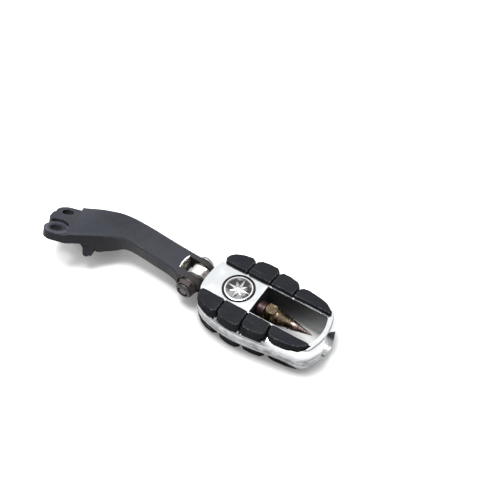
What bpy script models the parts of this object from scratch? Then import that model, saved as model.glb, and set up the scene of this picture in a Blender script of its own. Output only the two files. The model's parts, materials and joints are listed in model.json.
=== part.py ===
"""Folding passenger peg on its forged bracket, for a motorbike.

The peg lies along X with its tip towards +X, the fold bolt lies along Y and Z is up. Everything rests on
the plane Z = 0. The constants and the outlines are in millimetres, and the meshes are written in metres.
Outline points are measured from the centre of the medallion on the peg.
"""

import math

import bmesh
import bpy
from mathutils import Matrix, Vector

MM = 0.001

# Where the peg's medallion stands in the finished object
MEDALLION_X = 50.88
MEDALLION_Y = 6.21

# Fits
PLAY = 0.3
RUNNING_PLAY = 0.1
CUT_PAST = 6.0
FLAT_WITHIN = 1e-5

# Peg body casting: heights are above and below its middle plane
PEG_MIDDLE_Z = 16.7
DECK_HEIGHT = 13.3
BEVEL_HEIGHT = 12.1
SIDE_SHOULDER_HEIGHT = 9.0
TIP_LEDGE_HEIGHT = 10.4
NOSE_SHOULDER_HEIGHT = 10.2
BAND_HEIGHT = 5.4
NOSE_BAND_HEIGHT = 7.0
DECK_EDGE_Y = 18.0
WINDOW_LEFT_X = 19.0
WINDOW_RIGHT_X = 75.2
WINDOW_HALF_WIDTH = 14.6
WINDOW_BOW = 2.2
WINDOW_CORNER_R = 2.6
NOSE_HOLE_R = 10.8
CORE_AXIS_Z = 18.4
SHANK_BORE_R = 7.4
SHANK_BORE_LENGTH = 36.0
MEDALLION_RECESS_DEPTH = 1.7

# Rubber pads
PAD_INNER_Y = 16.3
PAD_TOP_HEIGHT = 16.7
PAD_SEAT_HEIGHT = 6.8
TIP_PAD_SEAT_HEIGHT = 8.9
PAD_BEVEL = 1.1
PLUG_R = 2.6
PLUG_LENGTH = 3.6
PLUG_IN_PAD = 2.0
WEB_HEIGHT = 8.2
PAD_STEP_ABOVE_WEB = 0.8
PAD_STEP_RISE = 0.9

# Medallion
MEDALLION_R = 13.7
MEDALLION_RING_WIDTH = 1.8
MEDALLION_RING_DROP = 0.9
MEDALLION_RIM_WIDTH = 1.0
MEDALLION_RIM_RISE = 0.3
MEDALLION_FIELD_DROP = 0.55
STAR_MARGIN = 0.9
STAR_RISE = 1.35
STAR_NOTCH_SHARE = 0.34
STAR_SHORT_POINT_SHARE = 0.64

# Spike on the peg's axis, in the window
SPIKE_HEX_ACROSS = 14.8
SPIKE_HEX_LEFT_X = 27.3
SPIKE_HEX_LENGTH = 9.4
SPIKE_HEX_CHAMFER = 1.1
SPIKE_TIP_X = 69.4
SPIKE_SHANK_R = 4.0
SPIKE_WASHER_R = 7.0
SPIKE_THREAD_LENGTH = 14.0
SPIKE_THREAD_DEPTH = 17.0

# Clevis and fold bolt
BOLT_X = -41.7
BOLT_Z = 18.8
BOLT_R = 4.7
BOLT_HEAD_R = 8.3
BOLT_HEAD_HEIGHT = 4.4
SOCKET_ACROSS = 5.6
EAR_HALF_WIDTH = 12.0
NEAR_EAR_EXTRA = 2.6
SLOT_HALF_WIDTH = 6.8
SLOT_ROOT_X = -53.2
SLOT_LOW_Z = 2.0
SLOT_HIGH_Z = 42.0
NUT_RECESS_DEPTH = 2.0
NUT_RECESS_R = 10.2
NUT_ACROSS = 15.9
NUT_LENGTH = 4.4
NUT_COLLAR_R = 7.2
NUT_COLLAR_LENGTH = 2.2
WASHER_THICKNESS = 1.2
WASHER_R = 8.6
SPRING_WASHER_THICKNESS = 0.9
SPRING_WASHER_R = 8.2
TONGUE_HALF_HEIGHT = 7.0
TONGUE_SHORT_OF_PEG = 2.6
HEEL_HEIGHT = 2.6
SHANK_R = 7.0
NECK_R = 6.2
FLANGE_LENGTH = 0.7

# Bracket forging
ARM_CHAMFER = 1.3
PAD_ORIGIN = (-169.9, -20.4, 33.9)
PAD_ALONG_HOLES = (-0.414, 0.818, -0.399)
PAD_TO_ARM = (0.910, 0.372, -0.181)
HOLE_SPACING = 32.0
HOLE_R = 5.25
LOBE_R = 10.3
SPOT_FACE_R = 10.7
SPOT_FACE_DEPTH = 3.2
FLANGE_THICKNESS = 10.5
RIB_DEPTH = 21.0
RIB_NEAR_END = -20.3
RIB_FAR_END = 22.0
BLOCK_THICKNESS = 19.0

# Half outline of the peg at its widest, from the left end to the nose
PEG_OUTLINE = (
    (-29.6, 0.0),
    (-29.3, 8.0),
    (-28.5, 15.0),
    (-26.9, 21.0),
    (-23.7, 25.5),
    (-15.0, 30.5),
    (-4.0, 33.2),
    (7.0, 34.6),
    (20.0, 34.6),
    (32.0, 33.1),
    (45.0, 31.0),
    (57.0, 29.0),
    (66.0, 28.0),
    (71.6, 26.9),
    (75.8, 24.6),
    (79.2, 20.6),
    (81.9, 15.0),
    (84.3, 8.6),
    (85.8, 0.0),
)
# Half outline of the peg's flat deck, one point for each of the points above
DECK_OUTLINE = (
    (-28.9, 0.0),
    (-28.6, 7.6),
    (-27.6, 12.8),
    (-26.0, 16.6),
    (-22.0, DECK_EDGE_Y),
    (-14.0, DECK_EDGE_Y),
    (-4.0, DECK_EDGE_Y),
    (7.0, DECK_EDGE_Y),
    (20.0, DECK_EDGE_Y),
    (32.0, DECK_EDGE_Y),
    (45.0, DECK_EDGE_Y),
    (57.0, DECK_EDGE_Y + 0.6),
    (66.0, DECK_EDGE_Y + 1.6),
    (71.3, DECK_EDGE_Y + 2.8),
    (74.8, DECK_EDGE_Y + 2.2),
    (76.8, DECK_EDGE_Y - 0.2),
    (78.2, 13.2),
    (79.6, 7.0),
    (80.2, 0.0),
)

# Pads, in pairs of (seat outline, crown outline), both from the inner right corner round to the right
PADS = (
    (
        ((-3.0, PAD_INNER_Y), (-23.8, PAD_INNER_Y), (-26.6, 20.4), (-25.0, 24.0), (-21.3, 27.9),
         (-14.0, 31.4), (-6.8, 33.3), (-3.2, 31.0)),
        ((-2.6, PAD_INNER_Y), (-23.4, PAD_INNER_Y), (-24.9, 19.6), (-23.5, 23.8), (-20.0, 27.2),
         (-13.5, 30.0), (-5.6, 31.4), (-1.9, 29.3)),
    ),
    (
        ((19.2, PAD_INNER_Y), (0.0, PAD_INNER_Y), (0.2, 30.8), (3.2, 33.8), (9.5, 34.86),
         (16.2, 34.7), (19.1, 32.4)),
        ((19.4, PAD_INNER_Y), (-1.4, PAD_INNER_Y), (-0.8, 29.2), (2.6, 32.2), (9.5, 33.4),
         (17.4, 33.1), (20.3, 30.6)),
    ),
    (
        ((40.0, PAD_INNER_Y), (21.2, PAD_INNER_Y), (21.4, 30.2), (23.5, 32.4), (30.5, 31.9),
         (37.3, 30.3), (39.8, 28.0)),
        ((40.5, PAD_INNER_Y), (20.6, PAD_INNER_Y), (21.5, 28.7), (24.0, 31.0), (30.8, 31.1),
         (38.4, 29.6), (41.4, 27.0)),
    ),
    (
        ((75.9, PAD_INNER_Y), (43.4, PAD_INNER_Y), (43.7, 25.4), (46.0, 27.6), (50.5, 27.9),
         (62.0, 26.6), (69.4, 24.6), (74.2, 20.7)),
        ((74.9, PAD_INNER_Y), (42.1, PAD_INNER_Y), (42.9, 24.2), (45.4, 26.6), (50.5, 27.2),
         (61.6, 25.8), (68.8, 23.8), (73.4, 19.9)),
    ),
)
PLUG_CENTRES = ((-12.0, 23.0), (9.5, 24.5), (30.5, 23.5), (55.0, 20.6))

# Top edges of the bracket from the mounting pad to the clevis: near edge, far edge, thickness below
ARM_STATIONS = (
    ((-148.9, -38.4, 42.5), (-171.3, 5.9, 21.0), FLANGE_THICKNESS),
    ((-143.0, -33.7, 41.0), (-164.0, 7.5, 23.2), FLANGE_THICKNESS),
    ((-136.0, -28.2, 39.3), (-154.0, 9.3, 26.6), FLANGE_THICKNESS + 1.4),
    ((-131.5, -24.6, 38.1), (-147.0, 10.4, 28.6), BLOCK_THICKNESS),
    ((-126.0, -20.3, 36.9), (-139.0, 11.2, 30.9), BLOCK_THICKNESS + 0.4),
    ((-119.0, -16.0, 35.8), (-131.0, 12.0, 33.0), BLOCK_THICKNESS),
    ((-112.0, -13.0, 35.1), (-121.0, 12.0, 34.8), 16.8),
    ((-104.0, -12.0, 34.8), (-109.0, 12.0, 35.2), 15.0),
    ((-92.0, -12.0, 33.7), (-93.0, 12.0, 33.9), 14.0),
    ((-75.0, -12.0, 31.3), (-75.0, 12.0, 31.3), 14.2),
    ((-61.0, -12.2, 29.7), (-61.0, 12.0, 29.7), 14.4),
    ((-50.0, 0.2 - EAR_HALF_WIDTH - NEAR_EAR_EXTRA, 28.5), (-50.0, 12.0, 28.5), 14.7),
)
ARM_STEPS_PER_STATION = 3

# Side outline of the clevis ears, from the arm's top round the tip to its underside
EAR_OUTLINE = (
    (-54.5, 28.9),
    (-46.0, 28.0),
    (-39.5, 27.0),
    (-35.0, 25.6),
    (-32.2, 23.2),
    (-30.9, 20.0),
    (-31.3, 16.9),
    (-33.2, 14.5),
    (-36.6, 13.1),
    (-42.0, 12.7),
    (-54.5, 14.0),
)


def clear_scene():
    """Empties the scene of everything that Blender starts with."""
    for obj in list(bpy.data.objects):
        bpy.data.objects.remove(obj, do_unlink=True)


def finish(name, colour, roughness, metallic):
    """Returns a Principled material."""
    material = bpy.data.materials.new(name)
    material.use_nodes = True
    shader = material.node_tree.nodes["Principled BSDF"]
    shader.inputs["Base Color"].default_value = (*colour, 1.0)
    shader.inputs["Roughness"].default_value = roughness
    shader.inputs["Metallic"].default_value = metallic
    return material


def empty(name, parent=None, location=(0.0, 0.0, 0.0)):
    """Returns an empty that carries other objects, at a place given in millimetres."""
    obj = bpy.data.objects.new(name, None)
    bpy.context.scene.collection.objects.link(obj)
    obj.parent = parent
    obj.location = Vector(location) * MM
    return obj


def place(name, mesh, parent, material=None, offset=(0.0, 0.0, 0.0)):
    """Returns a visible object of a mesh, moved by an offset in millimetres."""
    obj = bpy.data.objects.new(name, mesh)
    bpy.context.scene.collection.objects.link(obj)
    obj.parent = parent
    obj.location = Vector(offset) * MM
    if material is not None and not mesh.materials:
        mesh.materials.append(material)
    return obj


def helper(name, mesh, parent, offset=(0.0, 0.0, 0.0)):
    """Returns a hidden object that only cuts or joins."""
    obj = place(name, mesh, parent, None, offset)
    obj.hide_render = True
    obj.display_type = "WIRE"
    return obj


def combine(obj, tool, operation="DIFFERENCE"):
    """Adds a live Boolean of a helper to an object."""
    modifier = obj.modifiers.new(tool.name, "BOOLEAN")
    modifier.operation = operation
    modifier.solver = "EXACT"
    modifier.object = tool


def soften(obj, width, angle=35.0, segments=1):
    """Adds a live Bevel to the edges that turn by more than an angle in degrees."""
    modifier = obj.modifiers.new("soft_edges", "BEVEL")
    modifier.width = width * MM
    modifier.segments = segments
    modifier.limit_method = "ANGLE"
    modifier.angle_limit = math.radians(angle)


def is_flat(face):
    """Says whether the corners of a face lie in one plane."""
    start = face.verts[0].co
    return all(abs((vert.co - start).dot(face.normal)) < FLAT_WITHIN for vert in face.verts)


def written(name, bm, smooth_angle=None):
    """Writes a mesh built in millimetres, and shades it smooth below an angle in degrees."""
    bmesh.ops.recalc_face_normals(bm, faces=bm.faces)
    twisted = [face for face in bm.faces if len(face.verts) == 4 and not is_flat(face)]
    bmesh.ops.triangulate(bm, faces=twisted)
    if smooth_angle is not None:
        for face in bm.faces:
            face.smooth = True
        for edge in bm.edges:
            edge.smooth = len(edge.link_faces) == 2 and edge.calc_face_angle(0.0) < math.radians(smooth_angle)
    bmesh.ops.scale(bm, vec=Vector((MM, MM, MM)), verts=bm.verts)
    mesh = bpy.data.meshes.new(name)
    bm.to_mesh(mesh)
    bm.free()
    return mesh


def add_loft(bm, rings):
    """Adds a closed skin through rings that all have the same number of points."""
    loops = [[bm.verts.new(point) for point in ring] for ring in rings]
    count = len(loops[0])
    for lower, upper in zip(loops, loops[1:]):
        for i in range(count):
            bm.faces.new((lower[i], lower[(i + 1) % count], upper[(i + 1) % count], upper[i]))
    bm.faces.new(loops[0])
    bm.faces.new(loops[-1])


def loft(name, rings, smooth_angle=None):
    """Returns the mesh of one closed skin through rings."""
    bm = bmesh.new()
    add_loft(bm, rings)
    return written(name, bm, smooth_angle)


def prisms(name, outlines, low, high, smooth_angle=None):
    """Returns upright prisms of outlines in X and Y, between two heights."""
    bm = bmesh.new()
    for outline in outlines:
        add_loft(bm, [[(x, y, z) for x, y in outline] for z in (low, high)])
    return written(name, bm, smooth_angle)


def side_prism(name, outline, near, far, smooth_angle=None):
    """Returns a prism of an outline in X and Z, between two places along Y."""
    return loft(name, [[(x, y, z) for x, z in outline] for y in (near, far)], smooth_angle)


def arc(centre, radius, start, end, steps):
    """Returns points along an arc, with its angles in degrees."""
    return [
        (
            centre[0] + radius * math.cos(math.radians(start + (end - start) * i / steps)),
            centre[1] + radius * math.sin(math.radians(start + (end - start) * i / steps)),
        )
        for i in range(steps + 1)
    ]


def circle(centre, radius, segments):
    """Returns the points of a full circle."""
    return arc(centre, radius, 0.0, 360.0 * (segments - 1) / segments, segments - 1)


def hexagon(across):
    """Returns a hexagon from the distance between its flats, with a flat on top."""
    return circle((0.0, 0.0), across / math.sqrt(3.0), 6)


def turned(name, profile, segments, axis, origin=(0.0, 0.0, 0.0), smooth_angle=40.0):
    """Returns a turned piece: the profile is (distance along the axis, radius), from one end to the other."""
    direction = Vector(axis)
    across = direction.orthogonal().normalized()
    third = direction.cross(across)
    rings = []
    for along, radius in profile:
        centre = Vector(origin) + direction * along
        rings.append([centre + x * across + y * third for x, y in circle((0.0, 0.0), radius, segments)])
    return loft(name, rings, smooth_angle)


def ring_piece(name, inner, outer, near, far, segments, centre):
    """Returns a flat washer on the fold bolt's axis."""
    bm = bmesh.new()
    loops = []
    for radius, y in ((outer, near), (outer, far), (inner, far), (inner, near)):
        ring = circle(centre, radius, segments)
        loops.append([bm.verts.new((x, y, z)) for x, z in ring])
    for a, b in zip(loops, loops[1:] + loops[:1]):
        for i in range(segments):
            bm.faces.new((a[i], a[(i + 1) % segments], b[(i + 1) % segments], b[i]))
    return written(name, bm, 40.0)


def smooth_path(points, steps):
    """Returns a Catmull-Rom curve through points of any dimension, each a tuple."""
    found = []
    for i in range(len(points) - 1):
        before = points[max(i - 1, 0)]
        start, end = points[i], points[i + 1]
        after = points[min(i + 2, len(points) - 1)]
        for k in range(steps):
            t = k / steps
            found.append(
                tuple(
                    0.5
                    * (
                        2 * b
                        + (c - a) * t
                        + (2 * a - 5 * b + 4 * c - d) * t * t
                        + (3 * b - a - 3 * c + d) * t ** 3
                    )
                    for a, b, c, d in zip(before, start, end, after)
                )
            )
    found.append(tuple(points[-1]))
    return found


def mirrored_outline(half):
    """Returns a closed outline from a half one that starts and ends on the X axis."""
    return list(half) + [(x, -y) for x, y in reversed(half[1:-1])]


def grown(outline, by):
    """Returns a convex outline with each side moved out by a distance."""
    middle = Vector((sum(x for x, _ in outline), sum(y for _, y in outline))) / len(outline)
    points = [Vector(point) for point in outline]
    moved = []
    for i, point in enumerate(points):
        corner = []
        for other in (points[i - 1], points[(i + 1) % len(points)]):
            along = (other - point).normalized()
            normal = Vector((-along.y, along.x))
            if normal.dot(point - middle) < 0:
                normal = -normal
            corner.append(normal)
        split = (corner[0] + corner[1]).normalized()
        moved.append(tuple(point + split * by / max(split.dot(corner[0]), 0.5)))
    return moved


def sided(outline, side):
    """Returns an outline on the far side (+1) or the near side (-1)."""
    return [(x, side * y) for x, y in outline]


def band_height(x):
    """Height of the peg's side band above its middle plane: it grows taller at the nose."""
    start, end = PEG_OUTLINE[-7][0], PEG_OUTLINE[-4][0]
    share = min(max((x - start) / (end - start), 0.0), 1.0)
    return BAND_HEIGHT + (NOSE_BAND_HEIGHT - BAND_HEIGHT) * share


def shoulder_height(x):
    """Height of the peg's shoulder above its middle plane: low by the wide pads, high by the tip pads."""
    if x > PEG_OUTLINE[-5][0]:
        return NOSE_SHOULDER_HEIGHT
    share = min(max((x - PADS[2][0][0][0]) / 10.0, 0.0), 1.0)
    return SIDE_SHOULDER_HEIGHT + (TIP_LEDGE_HEIGHT - SIDE_SHOULDER_HEIGHT) * share


def peg_rings():
    """Returns the level outlines of the peg, from its lower deck to its upper one."""
    wide = smooth_path(PEG_OUTLINE, 2)
    deck = smooth_path(DECK_OUTLINE, 2)
    levels = (
        (lambda x: DECK_HEIGHT, 0.0),
        (lambda x: BEVEL_HEIGHT, 0.25),
        (shoulder_height, 0.80),
        (band_height, 0.985),
        (lambda x: 0.0, 1.0),
    )
    upper = []
    for height, share in levels:
        half = [
            (d[0] + (w[0] - d[0]) * share, max(d[1] + (w[1] - d[1]) * share, 0.0), height(w[0]))
            for w, d in zip(wide, deck)
        ]
        upper.append(half + [(x, -y, z) for x, y, z in reversed(half[1:-1])])
    lower = [[(x, y, -z) for x, y, z in ring] for ring in upper[:-1]]
    return lower + list(reversed(upper))


def window_outline():
    """Returns the window: square at the left, bowed and round-cornered at the tip."""
    half = [(WINDOW_LEFT_X, 0.0), (WINDOW_LEFT_X, WINDOW_HALF_WIDTH)]
    centre = (WINDOW_RIGHT_X - WINDOW_CORNER_R, WINDOW_HALF_WIDTH - WINDOW_CORNER_R)
    half += arc(centre, WINDOW_CORNER_R, 90.0, 12.0, 4)
    reach = half[-1][1]
    for share in (0.66, 0.33, 0.0):
        half.append((WINDOW_RIGHT_X + WINDOW_BOW * (1.0 - share ** 2), reach * share))
    return mirrored_outline(half)


def pocket_outline(index):
    """Returns the seat of a pad in the peg: closed round the tip pad, open to the side for the others."""
    outline = PADS[index][0]
    if index == len(PADS) - 1:
        return grown(outline, PLAY)
    right = outline[0][0] + PLAY
    left = outline[1][0] - PLAY
    inner = PAD_INNER_Y - PLAY
    past = DECK_EDGE_Y * 2.5
    if index == 0:
        slant = (outline[2][0] - outline[1][0]) / (outline[2][1] - outline[1][1])
        return [(right, inner), (left, inner), (left + slant * (past - inner), past), (right, past)]
    return [(right, inner), (left, inner), (left, past), (right, past)]


def seat_height(index):
    """Height of a pad's seat above the peg's middle plane."""
    return TIP_PAD_SEAT_HEIGHT if index == len(PADS) - 1 else PAD_SEAT_HEIGHT


def web_cutters(hinge, offset):
    """Returns the cutter that lowers the webs between the seats, so that the pads meet above them."""
    left = PADS[0][0][0][0]
    right = PADS[-1][0][1][0]
    webs = bmesh.new()
    for side in (1, -1):
        strip = sided([(left, PAD_INNER_Y - PLAY), (right, PAD_INNER_Y - PLAY), (right, DECK_EDGE_Y * 2.5),
                       (left, DECK_EDGE_Y * 2.5)], side)
        for face in (1, -1):
            heights = (face * WEB_HEIGHT, face * (DECK_HEIGHT + CUT_PAST))
            add_loft(webs, [[(x, y, z) for x, y in strip] for z in heights])
    return helper("cut_webs", written("cut_webs", webs), hinge, offset)


def pocket_cutters(hinge, offset):
    """Returns the cutters of the pads' seats and of the plug holes in them."""
    pockets = bmesh.new()
    holes = bmesh.new()
    for index, centre in enumerate(PLUG_CENTRES):
        floor = seat_height(index) - PLAY
        for side in (1, -1):
            for face in (1, -1):
                heights = (face * floor, face * (PAD_TOP_HEIGHT + CUT_PAST))
                pocket = sided(pocket_outline(index), side)
                add_loft(pockets, [[(x, y, z) for x, y in pocket] for z in heights])
                deep = face * (seat_height(index) - PLUG_LENGTH - PLAY)
                plug = circle((centre[0], side * centre[1]), PLUG_R + PLAY, 12)
                add_loft(holes, [[(x, y, z) for x, y in plug] for z in (deep, face * (floor + 1.0))])
    return (
        web_cutters(hinge, offset),
        helper("cut_pad_seats", written("cut_pad_seats", pockets), hinge, offset),
        helper("cut_plug_holes", written("cut_plug_holes", holes), hinge, offset),
    )


def flared(seat, crown, share):
    """Returns a pad's outline above the webs: as wide as its crown where that is the wider one."""
    middle = (max(x for x, _ in seat) + min(x for x, _ in seat)) / 2
    outline = []
    for (seat_x, seat_y), (crown_x, crown_y) in zip(seat, crown):
        wider = abs(crown_x - middle) > abs(seat_x - middle)
        x = crown_x if wider else seat_x + (crown_x - seat_x) * share
        outline.append((x, seat_y + (crown_y - seat_y) * share))
    return outline


def build_peg_body(hinge, home, material):
    """Builds the cast peg with its window, nose hole, pad seats and medallion recess."""
    offset = (home[0], home[1], home[2] + PEG_MIDDLE_Z)
    body = place("peg_body", loft("peg_body", peg_rings(), 32.0), hinge, material, offset)
    for cutter in pocket_cutters(hinge, offset):
        combine(body, cutter)
    past = DECK_HEIGHT + CUT_PAST
    window = prisms("cut_window", [window_outline()], -past, past)
    combine(body, helper("cut_window", window, hinge, offset))
    axis_height = CORE_AXIS_Z - PEG_MIDDLE_Z
    middle = (WINDOW_RIGHT_X - CUT_PAST, 0.0, axis_height)
    nose = turned("cut_nose_hole", ((0.0, NOSE_HOLE_R), (4 * CUT_PAST, NOSE_HOLE_R)), 32, (1, 0, 0), middle)
    combine(body, helper("cut_nose_hole", nose, hinge, offset))
    left = (PEG_OUTLINE[0][0] - CUT_PAST, 0.0, axis_height)
    shank_end = CUT_PAST + SHANK_BORE_LENGTH
    through = WINDOW_LEFT_X - left[0] + 1.0
    profile = ((0.0, SHANK_BORE_R), (shank_end, SHANK_BORE_R), (shank_end, SPIKE_SHANK_R + PLAY),
               (through, SPIKE_SHANK_R + PLAY))
    bore = turned("cut_shank_bore", profile, 24, (1, 0, 0), left)
    combine(body, helper("cut_shank_bore", bore, hinge, offset))
    recess = prisms("cut_medallion", [circle((0.0, 0.0), MEDALLION_R + PLAY, 48)],
                    DECK_HEIGHT - MEDALLION_RECESS_DEPTH, past)
    combine(body, helper("cut_medallion", recess, hinge, offset))
    return shank_end - CUT_PAST + PEG_OUTLINE[0][0]


def build_pads(hinge, home, material):
    """Builds the rubber pads. The lower ones are the upper ones turned half round the peg's length."""
    offset = (home[0], home[1], home[2] + PEG_MIDDLE_Z)
    for index, (seat, crown) in enumerate(PADS):
        low = seat_height(index)
        for side, up_name, down_name in ((-1, "near", "far"), (1, "far", "near")):
            step = max(low, WEB_HEIGHT) + PAD_STEP_ABOVE_WEB
            share = (step + PAD_STEP_RISE - low) / (PAD_TOP_HEIGHT - low)
            rings = [
                [(x, y, low) for x, y in sided(seat, side)],
                [(x, y, step) for x, y in sided(seat, side)],
                [(x, y, step + PAD_STEP_RISE) for x, y in sided(flared(seat, crown, share), side)],
                [(x, y, PAD_TOP_HEIGHT) for x, y in sided(crown, side)],
            ]
            name = f"pad_{index + 1}_{up_name}"
            mesh = loft(name, rings)
            plug_x, plug_y = PLUG_CENTRES[index]
            plug_outline = circle((plug_x, side * plug_y), PLUG_R, 12)
            plug = prisms(f"plug_{name}", [plug_outline], low - PLUG_LENGTH, low + PLUG_IN_PAD)
            tool = helper(f"plug_{name}", plug, hinge, offset)
            for face, shown in (("top", up_name), ("bottom", down_name)):
                pad = place(f"tread_pad_{face}_{shown}_{index + 1}", mesh, hinge, material, offset)
                joined = tool
                if face == "bottom":
                    pad.rotation_euler = (math.pi, 0.0, 0.0)
                    joined = helper(f"plug_{name}_bottom", plug, hinge, offset)
                    joined.rotation_euler = (math.pi, 0.0, 0.0)
                soften(pad, PAD_BEVEL, 28.0, 2)
                combine(pad, joined, "UNION")


def build_medallion(hinge, home, material):
    """Builds the round medallion: a low outer ring, a raised rim and an eight-pointed star."""
    base = DECK_HEIGHT - MEDALLION_RECESS_DEPTH + PLAY
    field = DECK_HEIGHT - MEDALLION_FIELD_DROP
    rim = DECK_HEIGHT + MEDALLION_RIM_RISE
    low_ring = DECK_HEIGHT - MEDALLION_RING_DROP
    rim_r = MEDALLION_R - MEDALLION_RING_WIDTH
    field_r = rim_r - MEDALLION_RIM_WIDTH
    star_r = field_r - STAR_MARGIN
    profile = (
        (base, 0.5),
        (base, MEDALLION_R),
        (low_ring, MEDALLION_R),
        (low_ring, rim_r + 0.15),
        (rim - 0.25, rim_r),
        (rim, rim_r - 0.3),
        (rim, field_r + 0.25),
        (field, field_r),
        (field, 0.5),
    )
    offset = (home[0], home[1], home[2] + PEG_MIDDLE_Z)
    disc = place("medallion", turned("medallion", profile, 48, (0, 0, 1)), hinge, material, offset)
    bm = bmesh.new()
    foot = field - 0.4
    points = []
    for i in range(16):
        reach = star_r * (1.0, STAR_NOTCH_SHARE, STAR_SHORT_POINT_SHARE, STAR_NOTCH_SHARE)[i % 4]
        angle = math.radians(22.5 * i)
        points.append(bm.verts.new((reach * math.cos(angle), reach * math.sin(angle), foot)))
    apex = bm.verts.new((0.0, 0.0, field + STAR_RISE))
    for i in range(16):
        bm.faces.new((points[i], points[(i + 1) % 16], apex))
    bm.faces.new(points)
    combine(disc, helper("join_star", written("join_star", bm), hinge, offset), "UNION")


def build_spike(hinge, home, shank_end_x, metal, washer_metal):
    """Builds the pointed bolt that holds the peg on its shank, and its lock washer."""
    offset = (home[0], home[1], home[2] + CORE_AXIS_Z)
    hex_right = SPIKE_HEX_LEFT_X + SPIKE_HEX_LENGTH
    reach = SPIKE_TIP_X - hex_right
    corner = SPIKE_HEX_ACROSS / math.sqrt(3.0)
    turned_profile = (
        (shank_end_x - SPIKE_THREAD_LENGTH, SPIKE_SHANK_R - 0.5),
        (shank_end_x - SPIKE_THREAD_LENGTH + 0.6, SPIKE_SHANK_R),
        (SPIKE_HEX_LEFT_X + 0.6, SPIKE_SHANK_R),
        (SPIKE_HEX_LEFT_X + 0.6, SPIKE_HEX_ACROSS * 0.46),
        (hex_right - 0.4, SPIKE_HEX_ACROSS * 0.46),
        (hex_right + reach * 0.05, SPIKE_HEX_ACROSS * 0.43),
        (hex_right + reach * 0.13, SPIKE_HEX_ACROSS * 0.36),
        (hex_right + reach * 0.22, SPIKE_HEX_ACROSS * 0.30),
        (hex_right + reach * 0.33, SPIKE_HEX_ACROSS * 0.265),
        (hex_right + reach * 0.345, SPIKE_HEX_ACROSS * 0.33),
        (hex_right + reach * 0.385, SPIKE_HEX_ACROSS * 0.33),
        (hex_right + reach * 0.395, SPIKE_HEX_ACROSS * 0.275),
        (hex_right + reach * 0.425, SPIKE_HEX_ACROSS * 0.275),
        (hex_right + reach * 0.435, SPIKE_HEX_ACROSS * 0.31),
        (SPIKE_TIP_X - 0.8, SPIKE_HEX_ACROSS * 0.03),
        (SPIKE_TIP_X, SPIKE_HEX_ACROSS * 0.01),
    )
    spike = place("spike_bolt", turned("spike_bolt", turned_profile, 24, (1, 0, 0)), hinge, metal, offset)
    rings = []
    cone_start = SPIKE_HEX_LENGTH - 2 * SPIKE_HEX_CHAMFER
    for along, radius in ((0.0, corner * 0.9), (SPIKE_HEX_CHAMFER, corner), (cone_start, corner),
                          (SPIKE_HEX_LENGTH, corner * 0.82)):
        rings.append([(SPIKE_HEX_LEFT_X + along, y, z) for y, z in circle((0.0, 0.0), radius, 6)])
    combine(spike, helper("join_spike_hex", loft("join_spike_hex", rings), hinge, offset), "UNION")
    left = WINDOW_LEFT_X + PLAY
    right = SPIKE_HEX_LEFT_X - PLAY
    inner = SPIKE_SHANK_R + PLAY
    bm = bmesh.new()
    loops = []
    for x, radius in ((left, inner), (left, SPIKE_WASHER_R - 0.6), (left + 0.6, SPIKE_WASHER_R),
                      (right - 0.9, SPIKE_WASHER_R), (right, SPIKE_WASHER_R - 0.9), (right, inner)):
        loops.append([bm.verts.new((x, y, z)) for y, z in circle((0.0, 0.0), radius, 24)])
    for a, b in zip(loops, loops[1:] + loops[:1]):
        for i in range(24):
            bm.faces.new((a[i], a[(i + 1) % 24], b[(i + 1) % 24], b[i]))
    place("spike_collar", written("spike_collar", bm, 40.0), hinge, washer_metal, offset)


def bolt_bore(name):
    """Returns the cutter of the fold bolt's bore, longer than the clevis is wide."""
    reach = EAR_HALF_WIDTH + NEAR_EAR_EXTRA + CUT_PAST
    radius = BOLT_R + RUNNING_PLAY
    return turned(name, ((-reach, radius), (reach, radius)), 32, (0, 1, 0), (BOLT_X, 0.0, BOLT_Z))


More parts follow.
